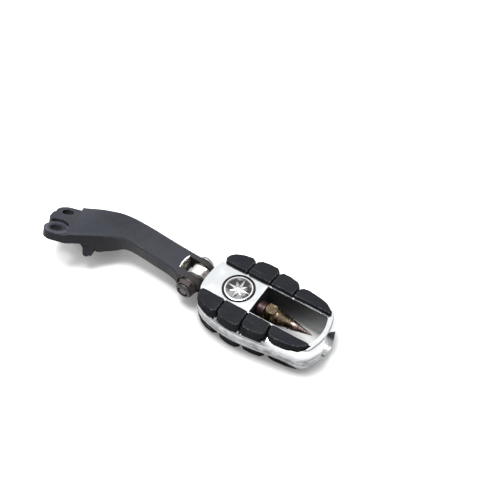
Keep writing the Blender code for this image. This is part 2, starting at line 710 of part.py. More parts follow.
def build_peg_mount(hinge, home, shank_end_x, material):
    """Builds the tongue in the clevis with its heel stop, and the shank that the peg sits on."""
    top = BOLT_Z + TONGUE_HALF_HEIGHT
    low = BOLT_Z - TONGUE_HALF_HEIGHT
    heel_x = SLOT_ROOT_X + 0.5
    tongue_end = PEG_OUTLINE[0][0] - TONGUE_SHORT_OF_PEG
    outline = [(tongue_end, top - 2.2), (tongue_end - 2.2, top)]
    outline += arc((BOLT_X, BOLT_Z), TONGUE_HALF_HEIGHT, 90.0, 195.0, 8)
    outline += [
        (heel_x + 0.6, BOLT_Z - HEEL_HEIGHT),
        (heel_x, BOLT_Z - HEEL_HEIGHT - 0.6),
        (heel_x, low + 0.8),
        (heel_x + 0.8, low),
        (tongue_end - 1.2, low),
        (tongue_end, low + 1.2),
    ]
    near = -SLOT_HALF_WIDTH + PLAY
    far = SLOT_HALF_WIDTH - SPRING_WASHER_THICKNESS - 2 * PLAY
    tongue = place("peg_mount", side_prism("peg_mount", outline, near, far, 30.0), hinge, material, home)
    flange = PEG_OUTLINE[0][0] - PLAY
    start = BOLT_X + SPRING_WASHER_R + PLAY
    profile = (
        (start, NECK_R * 0.80),
        (start + 0.7, NECK_R * 0.95),
        (start + 1.6, NECK_R),
        (flange - FLANGE_LENGTH, NECK_R),
        (flange - FLANGE_LENGTH, SHANK_R + 1.0),
        (flange - 0.3, SHANK_R + 1.3),
        (flange, SHANK_R + 1.3),
        (flange, SHANK_R),
        (shank_end_x - 1.4, SHANK_R),
        (shank_end_x - 0.6, SHANK_R - 0.8),
    )
    shank = turned("join_shank", profile, 24, (1, 0, 0), (0.0, 0.0, CORE_AXIS_Z))
    combine(tongue, helper("join_shank", shank, hinge, home), "UNION")
    combine(tongue, helper("cut_tongue_hole", bolt_bore("cut_tongue_hole"), hinge, home))
    thread_r = SPIKE_SHANK_R + PLAY
    thread_profile = ((shank_end_x - SPIKE_THREAD_DEPTH, thread_r), (shank_end_x + CUT_PAST, thread_r))
    thread = turned("cut_spike_thread", thread_profile, 24, (1, 0, 0), (0.0, 0.0, CORE_AXIS_Z))
    combine(tongue, helper("cut_spike_thread", thread, hinge, home))


def arm_rings():
    """Returns the bracket's cross-sections, chamfered, from the mounting pad to the clevis."""
    rows = [(*near, *far, thickness) for near, far, thickness in ARM_STATIONS]
    path = smooth_path(rows, ARM_STEPS_PER_STATION)
    centres = [(Vector(row[0:3]) + Vector(row[3:6])) / 2 for row in path]
    rings = []
    for i, row in enumerate(path):
        near, far, thickness = Vector(row[0:3]), Vector(row[3:6]), row[6]
        across = (far - near).normalized()
        along = centres[max(i - 1, 0)] - centres[min(i + 1, len(path) - 1)]
        down = along.cross(across).normalized()
        if down.z > 0:
            down = -down
        c = ARM_CHAMFER
        rings.append([
            near + c * across,
            near + c * down,
            near + (thickness - c) * down,
            near + thickness * down + c * across,
            far + thickness * down - c * across,
            far + (thickness - c) * down,
            far + c * down,
            far - c * across,
        ])
    return rings


def pad_frame():
    """Returns the matrix of the mounting pad: X along the holes, Y to the arm and Z off its top."""
    along = Vector(PAD_ALONG_HOLES).normalized()
    to_arm = Vector(PAD_TO_ARM)
    to_arm = (to_arm - to_arm.dot(along) * along).normalized()
    up = along.cross(to_arm)
    if up.z < 0:
        up = -up
    columns = Matrix((along, to_arm, up)).transposed().to_4x4()
    return Matrix.Translation(Vector(PAD_ORIGIN)) @ columns


def pad_mesh(name, rings_list):
    """Returns closed skins given in the mounting pad's own frame."""
    frame = pad_frame()
    bm = bmesh.new()
    for rings in rings_list:
        add_loft(bm, [[frame @ Vector(point) for point in ring] for ring in rings])
    return written(name, bm)


def lobe_outline():
    """Returns the two bolt lobes and the web between them, in the mounting pad's frame."""
    half = HOLE_SPACING / 2
    overlap = 12.6
    left = arc((-half, 0.0), LOBE_R, 180.0, 320.0, 12)
    right = [(-x, y) for x, y in reversed(left)]
    web = [(-5.6, -9.5), (-4.4, -10.0), (4.4, -10.0), (5.6, -9.5)]
    return [(-half - LOBE_R, overlap)] + left + web + right + [(half + LOBE_R, overlap)]


def spot_face_outline(side):
    """Returns one spot-face, open to the outside of its lobe."""
    half = HOLE_SPACING / 2
    rounded = arc((-half, 0.0), SPOT_FACE_R, 90.0, -90.0, 16)
    outline = [(-half - 3 * SPOT_FACE_R, SPOT_FACE_R)] + rounded + [(-half - 3 * SPOT_FACE_R, -SPOT_FACE_R)]
    return [(-side * x, y) for x, y in outline]


def rib_outline():
    """Returns the shoulder rib under the mounting pad as (distance to the arm, height), with its fillets."""
    root = FLANGE_THICKNESS - 0.4
    fillet = arc((20.6, -root - 5.4), 5.4, 80.0, 5.0, 5)
    foot = [
        (26.5, -RIB_DEPTH + 1.6),
        (27.9, -RIB_DEPTH),
        (30.6, -RIB_DEPTH),
        (32.2, -RIB_DEPTH + 1.8),
        (32.9, -BLOCK_THICKNESS - 1.4),
        (34.6, -BLOCK_THICKNESS + 0.6),
    ]
    return [(19.0, -3.4), (19.0, -root)] + fillet + foot + [(34.6, -3.4)]


def build_bracket(frame, material):
    """Builds the forged bracket: mounting lobes, shoulder rib, twisted arm and clevis ears."""
    arm = place("bracket_arm", loft("bracket_arm", arm_rings(), 28.0), frame, material)
    near_face = -EAR_HALF_WIDTH - NEAR_EAR_EXTRA
    ears = side_prism("join_ears", EAR_OUTLINE, near_face, EAR_HALF_WIDTH, 28.0)
    ear_tool = helper("join_ears", ears, frame)
    soften(ear_tool, ARM_CHAMFER * 0.8, 60.0)
    combine(arm, ear_tool, "UNION")
    lobes = [[(x, y, z) for x, y in lobe_outline()] for z in (-FLANGE_THICKNESS + 0.15, 0.1)]
    combine(arm, helper("join_lobes", pad_mesh("join_lobes", [lobes]), frame), "UNION")
    rib = [[(x, y, z) for y, z in rib_outline()] for x in (RIB_NEAR_END, RIB_FAR_END)]
    rib_tool = helper("join_rib", pad_mesh("join_rib", [rib]), frame)
    combine(arm, rib_tool, "UNION")
    spots = [[[(x, y, z) for x, y in spot_face_outline(side)] for z in (-SPOT_FACE_DEPTH, 3 * CUT_PAST)]
             for side in (-1, 1)]
    combine(arm, helper("cut_spot_faces", pad_mesh("cut_spot_faces", spots), frame))
    holes = [[[(x, y, z) for x, y in circle((side * HOLE_SPACING / 2, 0.0), HOLE_R, 32)]
              for z in (-FLANGE_THICKNESS - CUT_PAST, CUT_PAST)] for side in (-1, 1)]
    combine(arm, helper("cut_mounting_holes", pad_mesh("cut_mounting_holes", holes), frame))
    slot = [(SLOT_ROOT_X, -SLOT_HALF_WIDTH), (SLOT_ROOT_X, SLOT_HALF_WIDTH),
            (EAR_OUTLINE[5][0] + CUT_PAST, SLOT_HALF_WIDTH), (EAR_OUTLINE[5][0] + CUT_PAST, -SLOT_HALF_WIDTH)]
    combine(arm, helper("cut_slot", prisms("cut_slot", [slot], SLOT_LOW_Z, SLOT_HIGH_Z), frame))
    combine(arm, helper("cut_bolt_hole", bolt_bore("cut_bolt_hole"), frame))
    recess = turned("cut_nut_recess", ((0.0, NUT_RECESS_R), (3 * CUT_PAST, NUT_RECESS_R)), 32, (0, -1, 0),
                    (BOLT_X, near_face + NUT_RECESS_DEPTH, BOLT_Z))
    combine(arm, helper("cut_nut_recess", recess, frame))


def build_fold_bolt(frame, bolt_metal, nut_metal, spring_metal, nylon):
    """Builds the button-head bolt, its washer, the lock nut with its collar, and the spring washer."""
    centre = (BOLT_X, BOLT_Z)
    washer_far = NUT_RECESS_DEPTH - EAR_HALF_WIDTH - NEAR_EAR_EXTRA - PLAY
    washer_near = washer_far - WASHER_THICKNESS
    nut_far = washer_near - PLAY
    nut_near = nut_far - NUT_LENGTH
    collar_near = nut_near - PLAY - NUT_COLLAR_LENGTH
    head = EAR_HALF_WIDTH + PLAY
    rise = BOLT_HEAD_HEIGHT
    profile = (
        (collar_near + 0.4, BOLT_R - 0.7),
        (collar_near + 1.1, BOLT_R),
        (head, BOLT_R),
        (head, BOLT_HEAD_R - 0.3),
        (head + 0.5, BOLT_HEAD_R),
        (head + rise * 0.38, BOLT_HEAD_R * 0.95),
        (head + rise * 0.70, BOLT_HEAD_R * 0.80),
        (head + rise * 0.91, BOLT_HEAD_R * 0.60),
        (head + rise, BOLT_HEAD_R * 0.44),
    )
    bolt = place("clevis_bolt", turned("clevis_bolt", profile, 32, (0, 1, 0), (BOLT_X, 0.0, BOLT_Z)),
                 frame, bolt_metal)
    socket = side_prism("cut_socket", [(BOLT_X + x, BOLT_Z + z) for x, z in hexagon(SOCKET_ACROSS)],
                        head + rise * 0.35, head + rise + CUT_PAST)
    combine(bolt, helper("cut_socket", socket, frame))
    washer = ring_piece("clevis_washer", BOLT_R + RUNNING_PLAY, WASHER_R, washer_near, washer_far, 32, centre)
    place("clevis_washer", washer, frame, nut_metal)
    corner = NUT_ACROSS / math.sqrt(3.0)
    rings = []
    for y, radius in ((nut_far, corner * 0.93), (nut_far - 0.8, corner), (nut_near + 1.2, corner),
                      (nut_near, corner * 0.88)):
        rings.append([(BOLT_X + radius * x, y, BOLT_Z + radius * z) for x, z in circle((0.0, 0.0), 1.0, 6)])
    nut = place("lock_nut", loft("lock_nut", rings), frame, nut_metal)
    thread_r = BOLT_R + RUNNING_PLAY
    bore = turned("cut_nut_bore", ((nut_near - CUT_PAST, thread_r), (nut_far + CUT_PAST, thread_r)), 32,
                  (0, 1, 0), (BOLT_X, 0.0, BOLT_Z))
    combine(nut, helper("cut_nut_bore", bore, frame))
    collar = ring_piece("nut_collar", thread_r, NUT_COLLAR_R, collar_near, nut_near - PLAY, 32, centre)
    collar_obj = place("nut_collar", collar, frame, nylon)
    soften(collar_obj, 0.5, 40.0)
    spring_far = SLOT_HALF_WIDTH - PLAY
    spring = ring_piece("spring_washer", BOLT_R + RUNNING_PLAY, SPRING_WASHER_R,
                        spring_far - SPRING_WASHER_THICKNESS, spring_far, 32, centre)
    place("spring_washer", spring, frame, spring_metal)


def main():
    """Builds the whole object."""
    clear_scene()
    chrome = finish("cast_chrome", (0.72, 0.73, 0.74), 0.22, 1.0)
    rubber = finish("black_rubber", (0.025, 0.026, 0.028), 0.62, 0.0)
    badge = finish("medallion_silver", (0.66, 0.67, 0.68), 0.28, 1.0)
    bronze = finish("worn_bronze", (0.36, 0.29, 0.17), 0.38, 1.0)
    rusty = finish("browned_steel", (0.24, 0.13, 0.11), 0.55, 0.6)
    bare = finish("bare_steel", (0.62, 0.60, 0.58), 0.30, 1.0)
    paint = finish("black_paint", (0.075, 0.077, 0.082), 0.42, 0.0)
    button = finish("zinc_steel", (0.48, 0.48, 0.49), 0.34, 1.0)
    dark_steel = finish("dark_steel", (0.085, 0.065, 0.066), 0.48, 0.7)
    spring = finish("spring_steel", (0.30, 0.28, 0.25), 0.42, 1.0)
    nylon = finish("dark_nylon", (0.055, 0.045, 0.045), 0.50, 0.0)

    frame = empty("bracket_frame", None, (MEDALLION_X, MEDALLION_Y, 0.0))
    hinge = empty("peg_hinge", frame, (BOLT_X, 0.0, BOLT_Z))
    home = (-BOLT_X, 0.0, -BOLT_Z)

    build_bracket(frame, paint)
    build_fold_bolt(frame, button, dark_steel, spring, nylon)
    shank_end_x = build_peg_body(hinge, home, chrome)
    build_peg_mount(hinge, home, shank_end_x, bare)
    build_medallion(hinge, home, badge)
    build_spike(hinge, home, shank_end_x, bronze, rusty)
    build_pads(hinge, home, rubber)


main()
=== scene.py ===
"""Dressed model of a folding passenger peg on its painted bracket.

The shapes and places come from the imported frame. This script gives each piece its finish, rebuilds the
pieces whose fine form matters close up, and sets up the studio. All lengths are in metres.
"""

import json
import logging
import math
from dataclasses import dataclass, field
from enum import Enum
from functools import cache

import bmesh
import bpy
from mathutils import Matrix, Vector, noise

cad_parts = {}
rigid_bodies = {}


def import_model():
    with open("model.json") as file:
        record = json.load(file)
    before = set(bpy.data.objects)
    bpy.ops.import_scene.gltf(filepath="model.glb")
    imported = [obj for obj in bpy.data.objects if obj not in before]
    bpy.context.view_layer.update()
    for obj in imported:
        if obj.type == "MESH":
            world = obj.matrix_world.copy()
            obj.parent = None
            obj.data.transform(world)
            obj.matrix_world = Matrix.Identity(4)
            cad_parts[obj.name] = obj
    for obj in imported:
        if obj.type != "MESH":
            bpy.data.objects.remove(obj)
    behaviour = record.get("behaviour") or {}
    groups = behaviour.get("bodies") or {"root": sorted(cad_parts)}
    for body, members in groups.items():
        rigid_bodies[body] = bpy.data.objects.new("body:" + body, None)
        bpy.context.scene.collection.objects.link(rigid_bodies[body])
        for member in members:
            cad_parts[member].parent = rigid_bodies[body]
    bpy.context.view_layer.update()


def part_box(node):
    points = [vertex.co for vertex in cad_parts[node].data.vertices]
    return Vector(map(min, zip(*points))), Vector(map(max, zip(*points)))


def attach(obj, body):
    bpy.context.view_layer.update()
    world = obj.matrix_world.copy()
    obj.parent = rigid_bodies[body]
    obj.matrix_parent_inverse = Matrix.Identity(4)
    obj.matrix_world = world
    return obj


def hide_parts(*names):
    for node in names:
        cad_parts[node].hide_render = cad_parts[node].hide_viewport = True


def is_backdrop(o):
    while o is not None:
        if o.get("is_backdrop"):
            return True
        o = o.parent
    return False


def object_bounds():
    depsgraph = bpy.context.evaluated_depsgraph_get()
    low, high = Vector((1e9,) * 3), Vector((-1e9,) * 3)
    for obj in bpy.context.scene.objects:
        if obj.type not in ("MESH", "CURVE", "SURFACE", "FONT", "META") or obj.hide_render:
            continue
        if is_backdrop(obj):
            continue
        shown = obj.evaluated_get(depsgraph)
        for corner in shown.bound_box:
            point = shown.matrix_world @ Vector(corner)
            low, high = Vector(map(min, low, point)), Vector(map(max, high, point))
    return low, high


LOG = logging.getLogger("peg_bracket")
ALONG = Vector((1.0, 0.0, 0.0))
ACROSS = Vector((0.0, 1.0, 0.0))
UP = Vector((0.0, 0.0, 1.0))
ROUND_STEPS = 64
Colour = tuple[float, float, float]
Profile = list[tuple[float, float]]
Socket = bpy.types.NodeSocket
Sockets = bpy.types.bpy_prop_collection


class Body(Enum):
    """The two moving bodies of the frame."""

    BRACKET = "bracket"
    PEG = "peg"


class Slot(Enum):
    """The record's material slots."""

    PAINT = "black_paint"
    ZINC = "zinc_steel"
    DARK_STEEL = "dark_steel"
    NYLON = "dark_nylon"
    SPRING = "spring_steel"
    BARE = "bare_steel"
    CHROME = "cast_chrome"
    BADGE = "medallion_silver"
    BRONZE = "worn_bronze"
    BROWNED = "browned_steel"
    RUBBER = "black_rubber"


def shade(colour: Colour, factor: float) -> Colour:
    """Returns a colour made lighter or darker by a factor."""
    return tuple(factor * value for value in colour)


class Board:
    """A node tree with short calls for adding and joining nodes."""

    def __init__(self, tree: bpy.types.NodeTree) -> None:
        """Keeps the node tree of a material, a world or a group."""
        self.tree = tree

    def add(self, kind: str, **settings: object) -> bpy.types.Node:
        """Adds a node.

        Args:
            kind: The node's type without its ShaderNode prefix.
            **settings: Properties to set on the node.

        Returns:
            The new node.
        """
        node = self.tree.nodes.new(f"ShaderNode{kind}")
        for name, value in settings.items():
            setattr(node, name, value)
        return node

    def feed(self, target: Socket, source: object) -> None:
        """Joins a socket to another one, or sets its value.

        Args:
            target: The input socket.
            source: An output socket, a number or a tuple.
        """
        if isinstance(source, Socket):
            self.tree.links.new(source, target)
        elif isinstance(source, tuple) and target.type == "RGBA" and len(source) == 3:
            target.default_value = (*source, 1.0)
        else:
            target.default_value = source

    def maths(self, operation: str, *values: object, clamp: bool = False) -> Socket:
        """Adds a maths node.

        Args:
            operation: The node's operation.
            *values: Its inputs, as sockets or numbers.
            clamp: Whether the result stays between 0 and 1.

        Returns:
            The result's socket.
        """
        node = self.add("Math", operation=operation, use_clamp=clamp)
        for socket, value in zip(node.inputs, values):
            self.feed(socket, value)
        return node.outputs[0]

    def times(self, first: object, *others: object, clamp: bool = False) -> Socket:
        """Multiplies values, one after another.

        Args:
            first: A socket or a number.
            *others: What it is multiplied by.
            clamp: Whether each product stays between 0 and 1.

        Returns:
            The product's socket.
        """
        for value in others:
            first = self.maths("MULTIPLY", first, value, clamp=clamp)
        return first

    def most(self, first: object, *others: object) -> Socket:
        """Finds the largest of some values.

        Args:
            first: A socket or a number.
            *others: What it is compared with.

        Returns:
            The largest value's socket.
        """
        for value in others:
            first = self.maths("MAXIMUM", first, value)
        return first

    def plus(self, first: object, second: object, clamp: bool = False) -> Socket:
        """Adds two values."""
        return self.maths("ADD", first, second, clamp=clamp)

    def minus(self, first: object, second: object, clamp: bool = False) -> Socket:
        """Takes the second value from the first."""
        return self.maths("SUBTRACT", first, second, clamp=clamp)

    def left(self, value: object) -> Socket:
        """Gives what a value leaves of 1."""
        return self.minus(1.0, value)

    def size(self, value: object) -> Socket:
        """Gives a value without its sign."""
        return self.maths("ABSOLUTE", value)

    def spread(
        self, value: object, low: float, high: float, to_low: float = 0.0, to_high: float = 1.0
    ) -> Socket:
        """Maps a range of a value onto another range, with its ends held.

        Args:
            value: The socket to map.
            low: Start of the range.
            high: End of the range.
            to_low: Result at the start.
            to_high: Result at the end.

        Returns:
            The result's socket.
        """
        node = self.add("MapRange", interpolation_type="SMOOTHSTEP")
        names = ("Value", "From Min", "From Max", "To Min", "To Max")
        for name, given in zip(names, (value, low, high, to_low, to_high)):
            self.feed(node.inputs[name], given)
        return node.outputs["Result"]

    def fade(self, value: object, low: float, high: float) -> Socket:
        """Gives 1 below a range of a value and 0 above it."""
        return self.spread(value, low, high, 1.0, 0.0)

    def blend(self, share: object, first: object, second: object) -> Socket:
        """Mixes two colours.

        Args:
            share: Share of the second colour.
            first: The first colour.
            second: The second colour.

        Returns:
            The mixed colour's socket.
        """
        node = self.add("Mix", data_type="RGBA")
        self.feed(node.inputs[0], share)
        self.feed(node.inputs[6], first)
        self.feed(node.inputs[7], second)
        return node.outputs[2]

    def coat(self, colour: object, mask: object, share: object, other: object) -> Socket:
        """Lays a share of another colour over a colour, where a mask says so."""
        return self.blend(self.times(mask, share), colour, other)

    def place(
        self, offset: Vector = Vector(), scale: Vector = Vector((1.0, 1.0, 1.0)), turn: Vector = Vector()
    ) -> Socket:
        """Gives the piece's own coordinates, moved, turned and scaled.

        Args:
            offset: Added to the coordinates.
            scale: Multiplies the coordinates.
            turn: Turns the coordinates, in radians.

        Returns:
            The coordinates' socket.
        """
        mapping = self.add("Mapping")
        self.feed(mapping.inputs["Vector"], self.add("TexCoord").outputs["Object"])
        for name, value in (("Location", offset), ("Rotation", turn), ("Scale", scale)):
            self.feed(mapping.inputs[name], tuple(value))
        return mapping.outputs["Vector"]

    def parts(self, vector: Socket) -> tuple[Socket, Socket, Socket]:
        """Parts a vector.

        Args:
            vector: The vector's socket.

        Returns:
            The sockets of its three coordinates.
        """
        node = self.add("SeparateXYZ")
        self.feed(node.inputs[0], vector)
        return tuple(node.outputs)

    def length(self, vector: Socket) -> Socket:
        """Measures a vector.

        Args:
            vector: The vector's socket.

        Returns:
            The socket of its length.
        """
        node = self.add("VectorMath", operation="LENGTH")
        self.feed(node.inputs[0], vector)
        return node.outputs["Value"]

    def facing_up(self) -> Socket:
        """Gives how far the surface faces up, from -1 to 1."""
        return self.parts(self.add("NewGeometry").outputs["Normal"])[2]

    def openness(self, reach: object, **settings: object) -> Socket:
        """Finds how open the surroundings are.

        Args:
            reach: How far it looks.
            **settings: Properties to set on the node.

        Returns:
            The result's socket, 0 in a tight corner and 1 in the open.
        """
        node = self.add("AmbientOcclusion", **settings)
        self.feed(node.inputs["Distance"], reach)
        return node.outputs["AO"]

    def ripple(
        self, scale: object, detail: float = 2.0, roughness: float = 0.5, where: Socket | None = None
    ) -> Socket:
        """Adds a cloudy noise.

        Args:
            scale: How small its clouds are.
            detail: How many finer layers it has.
            roughness: How strong the finer layers are.
            where: Its coordinates, if not the piece's own.

        Returns:
            The noise's socket.
        """
        node = self.add("TexNoise")
        self.feed(node.inputs["Vector"], self.place() if where is None else where)
        self.feed(node.inputs["Scale"], scale)
        self.feed(node.inputs["Detail"], detail)
        self.feed(node.inputs["Roughness"], roughness)
        return node.outputs[0]

    def spot(self, centre: Vector, reach: float) -> Socket:
        """Gives a soft round mask in space.

        Args:
            centre: Where the mask is full.
            reach: How far it goes.

        Returns:
            The mask's socket, 1 at the centre and 0 past the reach.
        """
        ball = self.add("TexGradient", gradient_type="SPHERICAL")
        self.feed(ball.inputs["Vector"], self.place(-centre / reach, Vector((1.0, 1.0, 1.0)) / reach))
        return ball.outputs["Fac"]

    def effect(self, group: bpy.types.NodeTree, **values: object) -> Sockets:
        """Places a shared effect.

        Args:
            group: The effect's node group.
            **values: Its inputs, with underscores for spaces.

        Returns:
            The effect's output sockets.
        """
        node = self.add("Group", node_tree=group)
        for name, value in values.items():
            self.feed(node.inputs[name.replace("_", " ")], value)
        return node.outputs

    def seen_directly(self) -> Socket:
        """Finds the rays that come from the camera, also through glass.

        Returns:
            The mask's socket.
        """
        path = self.add("LightPath")
        return self.most(path.outputs["Is Camera Ray"], path.outputs["Is Transmission Ray"])


class Skin(Board):
    """The board of a material, with its Principled shader."""

    def __init__(self, name: str, metallic: float, specular: float) -> None:
        """Starts the material.

        Args:
            name: Its name.
            metallic: How much of it is metal.
            specular: Its specular level.
        """
        self.material = bpy.data.materials.new(name)
        self.material.use_nodes = True
        super().__init__(self.material.node_tree)
        self.shader = self.tree.nodes["Principled BSDF"]
        self.set("Metallic", metallic)
        self.set("Specular IOR Level", specular)

    def set(self, name: str, source: object) -> None:
        """Feeds one of the shader's inputs."""
        self.feed(self.shader.inputs[name], source)

    def relief(self, height: Socket, depth: float) -> None:
        """Feeds a bump into the shader.

        Args:
            height: The height's socket.
            depth: Height of the relief.
        """
        bump = self.add("Bump")
        for name, value in (("Strength", 1.0), ("Distance", depth), ("Height", height)):
            self.feed(bump.inputs[name], value)
        self.set("Normal", bump.outputs["Normal"])


class Effects:
    """The shared effects, each a node group with named sockets that is built once."""

    @staticmethod
    def start(
        name: str, inputs: dict[str, float], outputs: tuple[str, ...]
    ) -> tuple[Board, Sockets, Sockets]:
        """Starts a group of float sockets.

        Args:
            name: The group's name.
            inputs: Its inputs and their usual values.
            outputs: Its outputs.

        Returns:
            The board, the sockets that bring the inputs and those that take the outputs.
        """
        tree = bpy.data.node_groups.new(name, "ShaderNodeTree")
        kind = "NodeSocketFloat"
        for label, usual in inputs.items():
            tree.interface.new_socket(label, in_out="INPUT", socket_type=kind).default_value = usual
        for label in outputs:
            tree.interface.new_socket(label, in_out="OUTPUT", socket_type=kind)
        given = tree.nodes.new("NodeGroupInput")
        result = tree.nodes.new("NodeGroupOutput")
        return Board(tree), given.outputs, result.inputs

    @staticmethod
    @cache
    def edge_wear_and_highlight() -> bpy.types.NodeTree:
        """Gives the group that finds outer edges, for wear and for painted highlights.

        Returns:
            The group, with the outputs Mask for broken wear and Line for the whole edge, which takes painted
            highlights.
        """
        inputs = {"Reach": 0.0006, "Breakup": 260.0, "Amount": 0.5}
        board, given, result = Effects.start("edge_wear_and_highlight", inputs, ("Mask", "Line"))
        rounded = board.add("Bevel", samples=6)
        board.feed(rounded.inputs["Radius"], given["Reach"])
        dot = board.add("VectorMath", operation="DOT_PRODUCT")
        board.feed(dot.inputs[0], rounded.outputs["Normal"])
        board.feed(dot.inputs[1], board.add("NewGeometry").outputs["Normal"])
        edge = board.spread(board.left(dot.outputs["Value"]), 0.004, 0.09)
        outer = board.spread(board.openness(0.0016, samples=4, only_local=True), 0.55, 0.9)
        # Line is the whole edge, which materials use for a painted highlight.
        line = board.times(edge, outer, clamp=True)
        start = board.minus(0.78, board.times(given["Amount"], 0.5))
        broken = board.times(board.minus(board.ripple(given["Breakup"], 4.0), start), 6.0, clamp=True)
        board.feed(result["Mask"], board.times(broken, line, clamp=True))
        board.feed(result["Line"], line)
        return board.tree

    @staticmethod
    @cache
    def shade_and_grime() -> bpy.types.NodeTree:
        """Gives the group that finds tight corners, where shade is painted mixed with grime.

        Returns:
            The group, with the output Mask.
        """
        inputs = {"Distance": 0.004, "Breakup": 420.0}
        board, given, result = Effects.start("corner_shade_and_grime", inputs, ("Mask",))
        # Painted shade: darkest in tight corners, broken up by noise like grime.
        closed_in = board.fade(board.openness(given["Distance"], samples=8), 0.25, 0.85)
        broken = board.spread(board.ripple(given["Breakup"], 3.0), 0.25, 0.65, 0.45, 1.0)
        board.feed(result["Mask"], board.times(closed_in, broken, clamp=True))
        return board.tree

    @staticmethod
    @cache
    def grain() -> bpy.types.NodeTree:
        """Gives the group of broad mottling and fine skin.

        Returns:
            The group, with the outputs Broad, Middle and Fine.
        """
        inputs = {"Broad scale": 45.0, "Middle scale": 260.0, "Fine scale": 2200.0}
        board, given, result = Effects.start("surface_grain", inputs, ("Broad", "Middle", "Fine"))
        for output, detail in (("Broad", 3.0), ("Middle", 4.0), ("Fine", 2.0)):
            clouds = board.ripple(given[f"{output} scale"], detail)
            board.feed(result[output], board.spread(clouds, 0.3, 0.7))
        return board.tree

    @staticmethod
    @cache
    def scuffs() -> bpy.types.NodeTree:
        """Gives the group of fine scratches that run mostly along the peg.

        Returns:
            The group, with the output Mask.
        """
        board, given, result = Effects.start("scuff_marks", {"Scale": 300.0, "Amount": 0.4}, ("Mask",))
        start = board.minus(0.80, board.times(given["Amount"], 0.3))
        marks = []
        for turn, stretch in ((0.12, 0.035), (-0.5, 0.06), (1.1, 0.08)):
            drawn_out = board.place(scale=Vector((stretch, 1.0, 0.5)), turn=Vector((0.0, 0.0, turn)))
            lines = board.ripple(given["Scale"], 5.0, 0.7, drawn_out)
            marks.append(board.times(board.minus(lines, start), 9.0, clamp=True))
        board.feed(result["Mask"], board.most(*marks))
        return board.tree


@dataclass(frozen=True)
class Finish:
    """A Principled material whose colour, roughness and relief are drawn by nodes."""

    name: str
    colour: Colour
    roughness: float
    metallic: float = 0.0
    specular: float = 0.5

    def material(self) -> bpy.types.Material:
        """Builds the material.

        Returns:
            The material.
        """
        skin = Skin(self.name, self.metallic, self.specular)
        self.paint(skin)
        return skin.material

    def shade(self, factor: float) -> Colour:
        """Returns the finish's colour made lighter or darker by a factor."""
        return shade(self.colour, factor)

    def uneven(self, skin: Skin, mask: Socket, less: float, more: float) -> Socket:
        """Gives the finish's roughness, less where a mask is 0 and more where it is 1."""
        return skin.spread(mask, 0.0, 1.0, self.roughness - less, self.roughness + more)

    def paint(self, skin: Skin) -> None:
        """Draws a mottled finish with lighter worn edges and painted shade mixed with grime in its corners.

        Args:
            skin: The material's board.
        """
        grain = skin.effect(Effects.grain())
        wear = skin.effect(Effects.edge_wear_and_highlight())
        shade_and_grime = skin.effect(Effects.shade_and_grime())
        light = tuple(min(1.15 * value, 1.0) for value in self.colour)
        worn = tuple(min(1.35 * value + 0.03, 1.0) for value in self.colour)
        colour = skin.blend(grain["Middle"], self.shade(0.82), light)
        colour = skin.blend(wear["Mask"], colour, worn)
        # Painted shade mixed with grime in the corners.
        skin.set("Base Color", skin.coat(colour, shade_and_grime["Mask"], 0.6, self.shade(0.35)))
        skin.set("Roughness", self.uneven(skin, grain["Broad"], 0.07, 0.09))
        skin.relief(grain["Fine"], 0.00002)


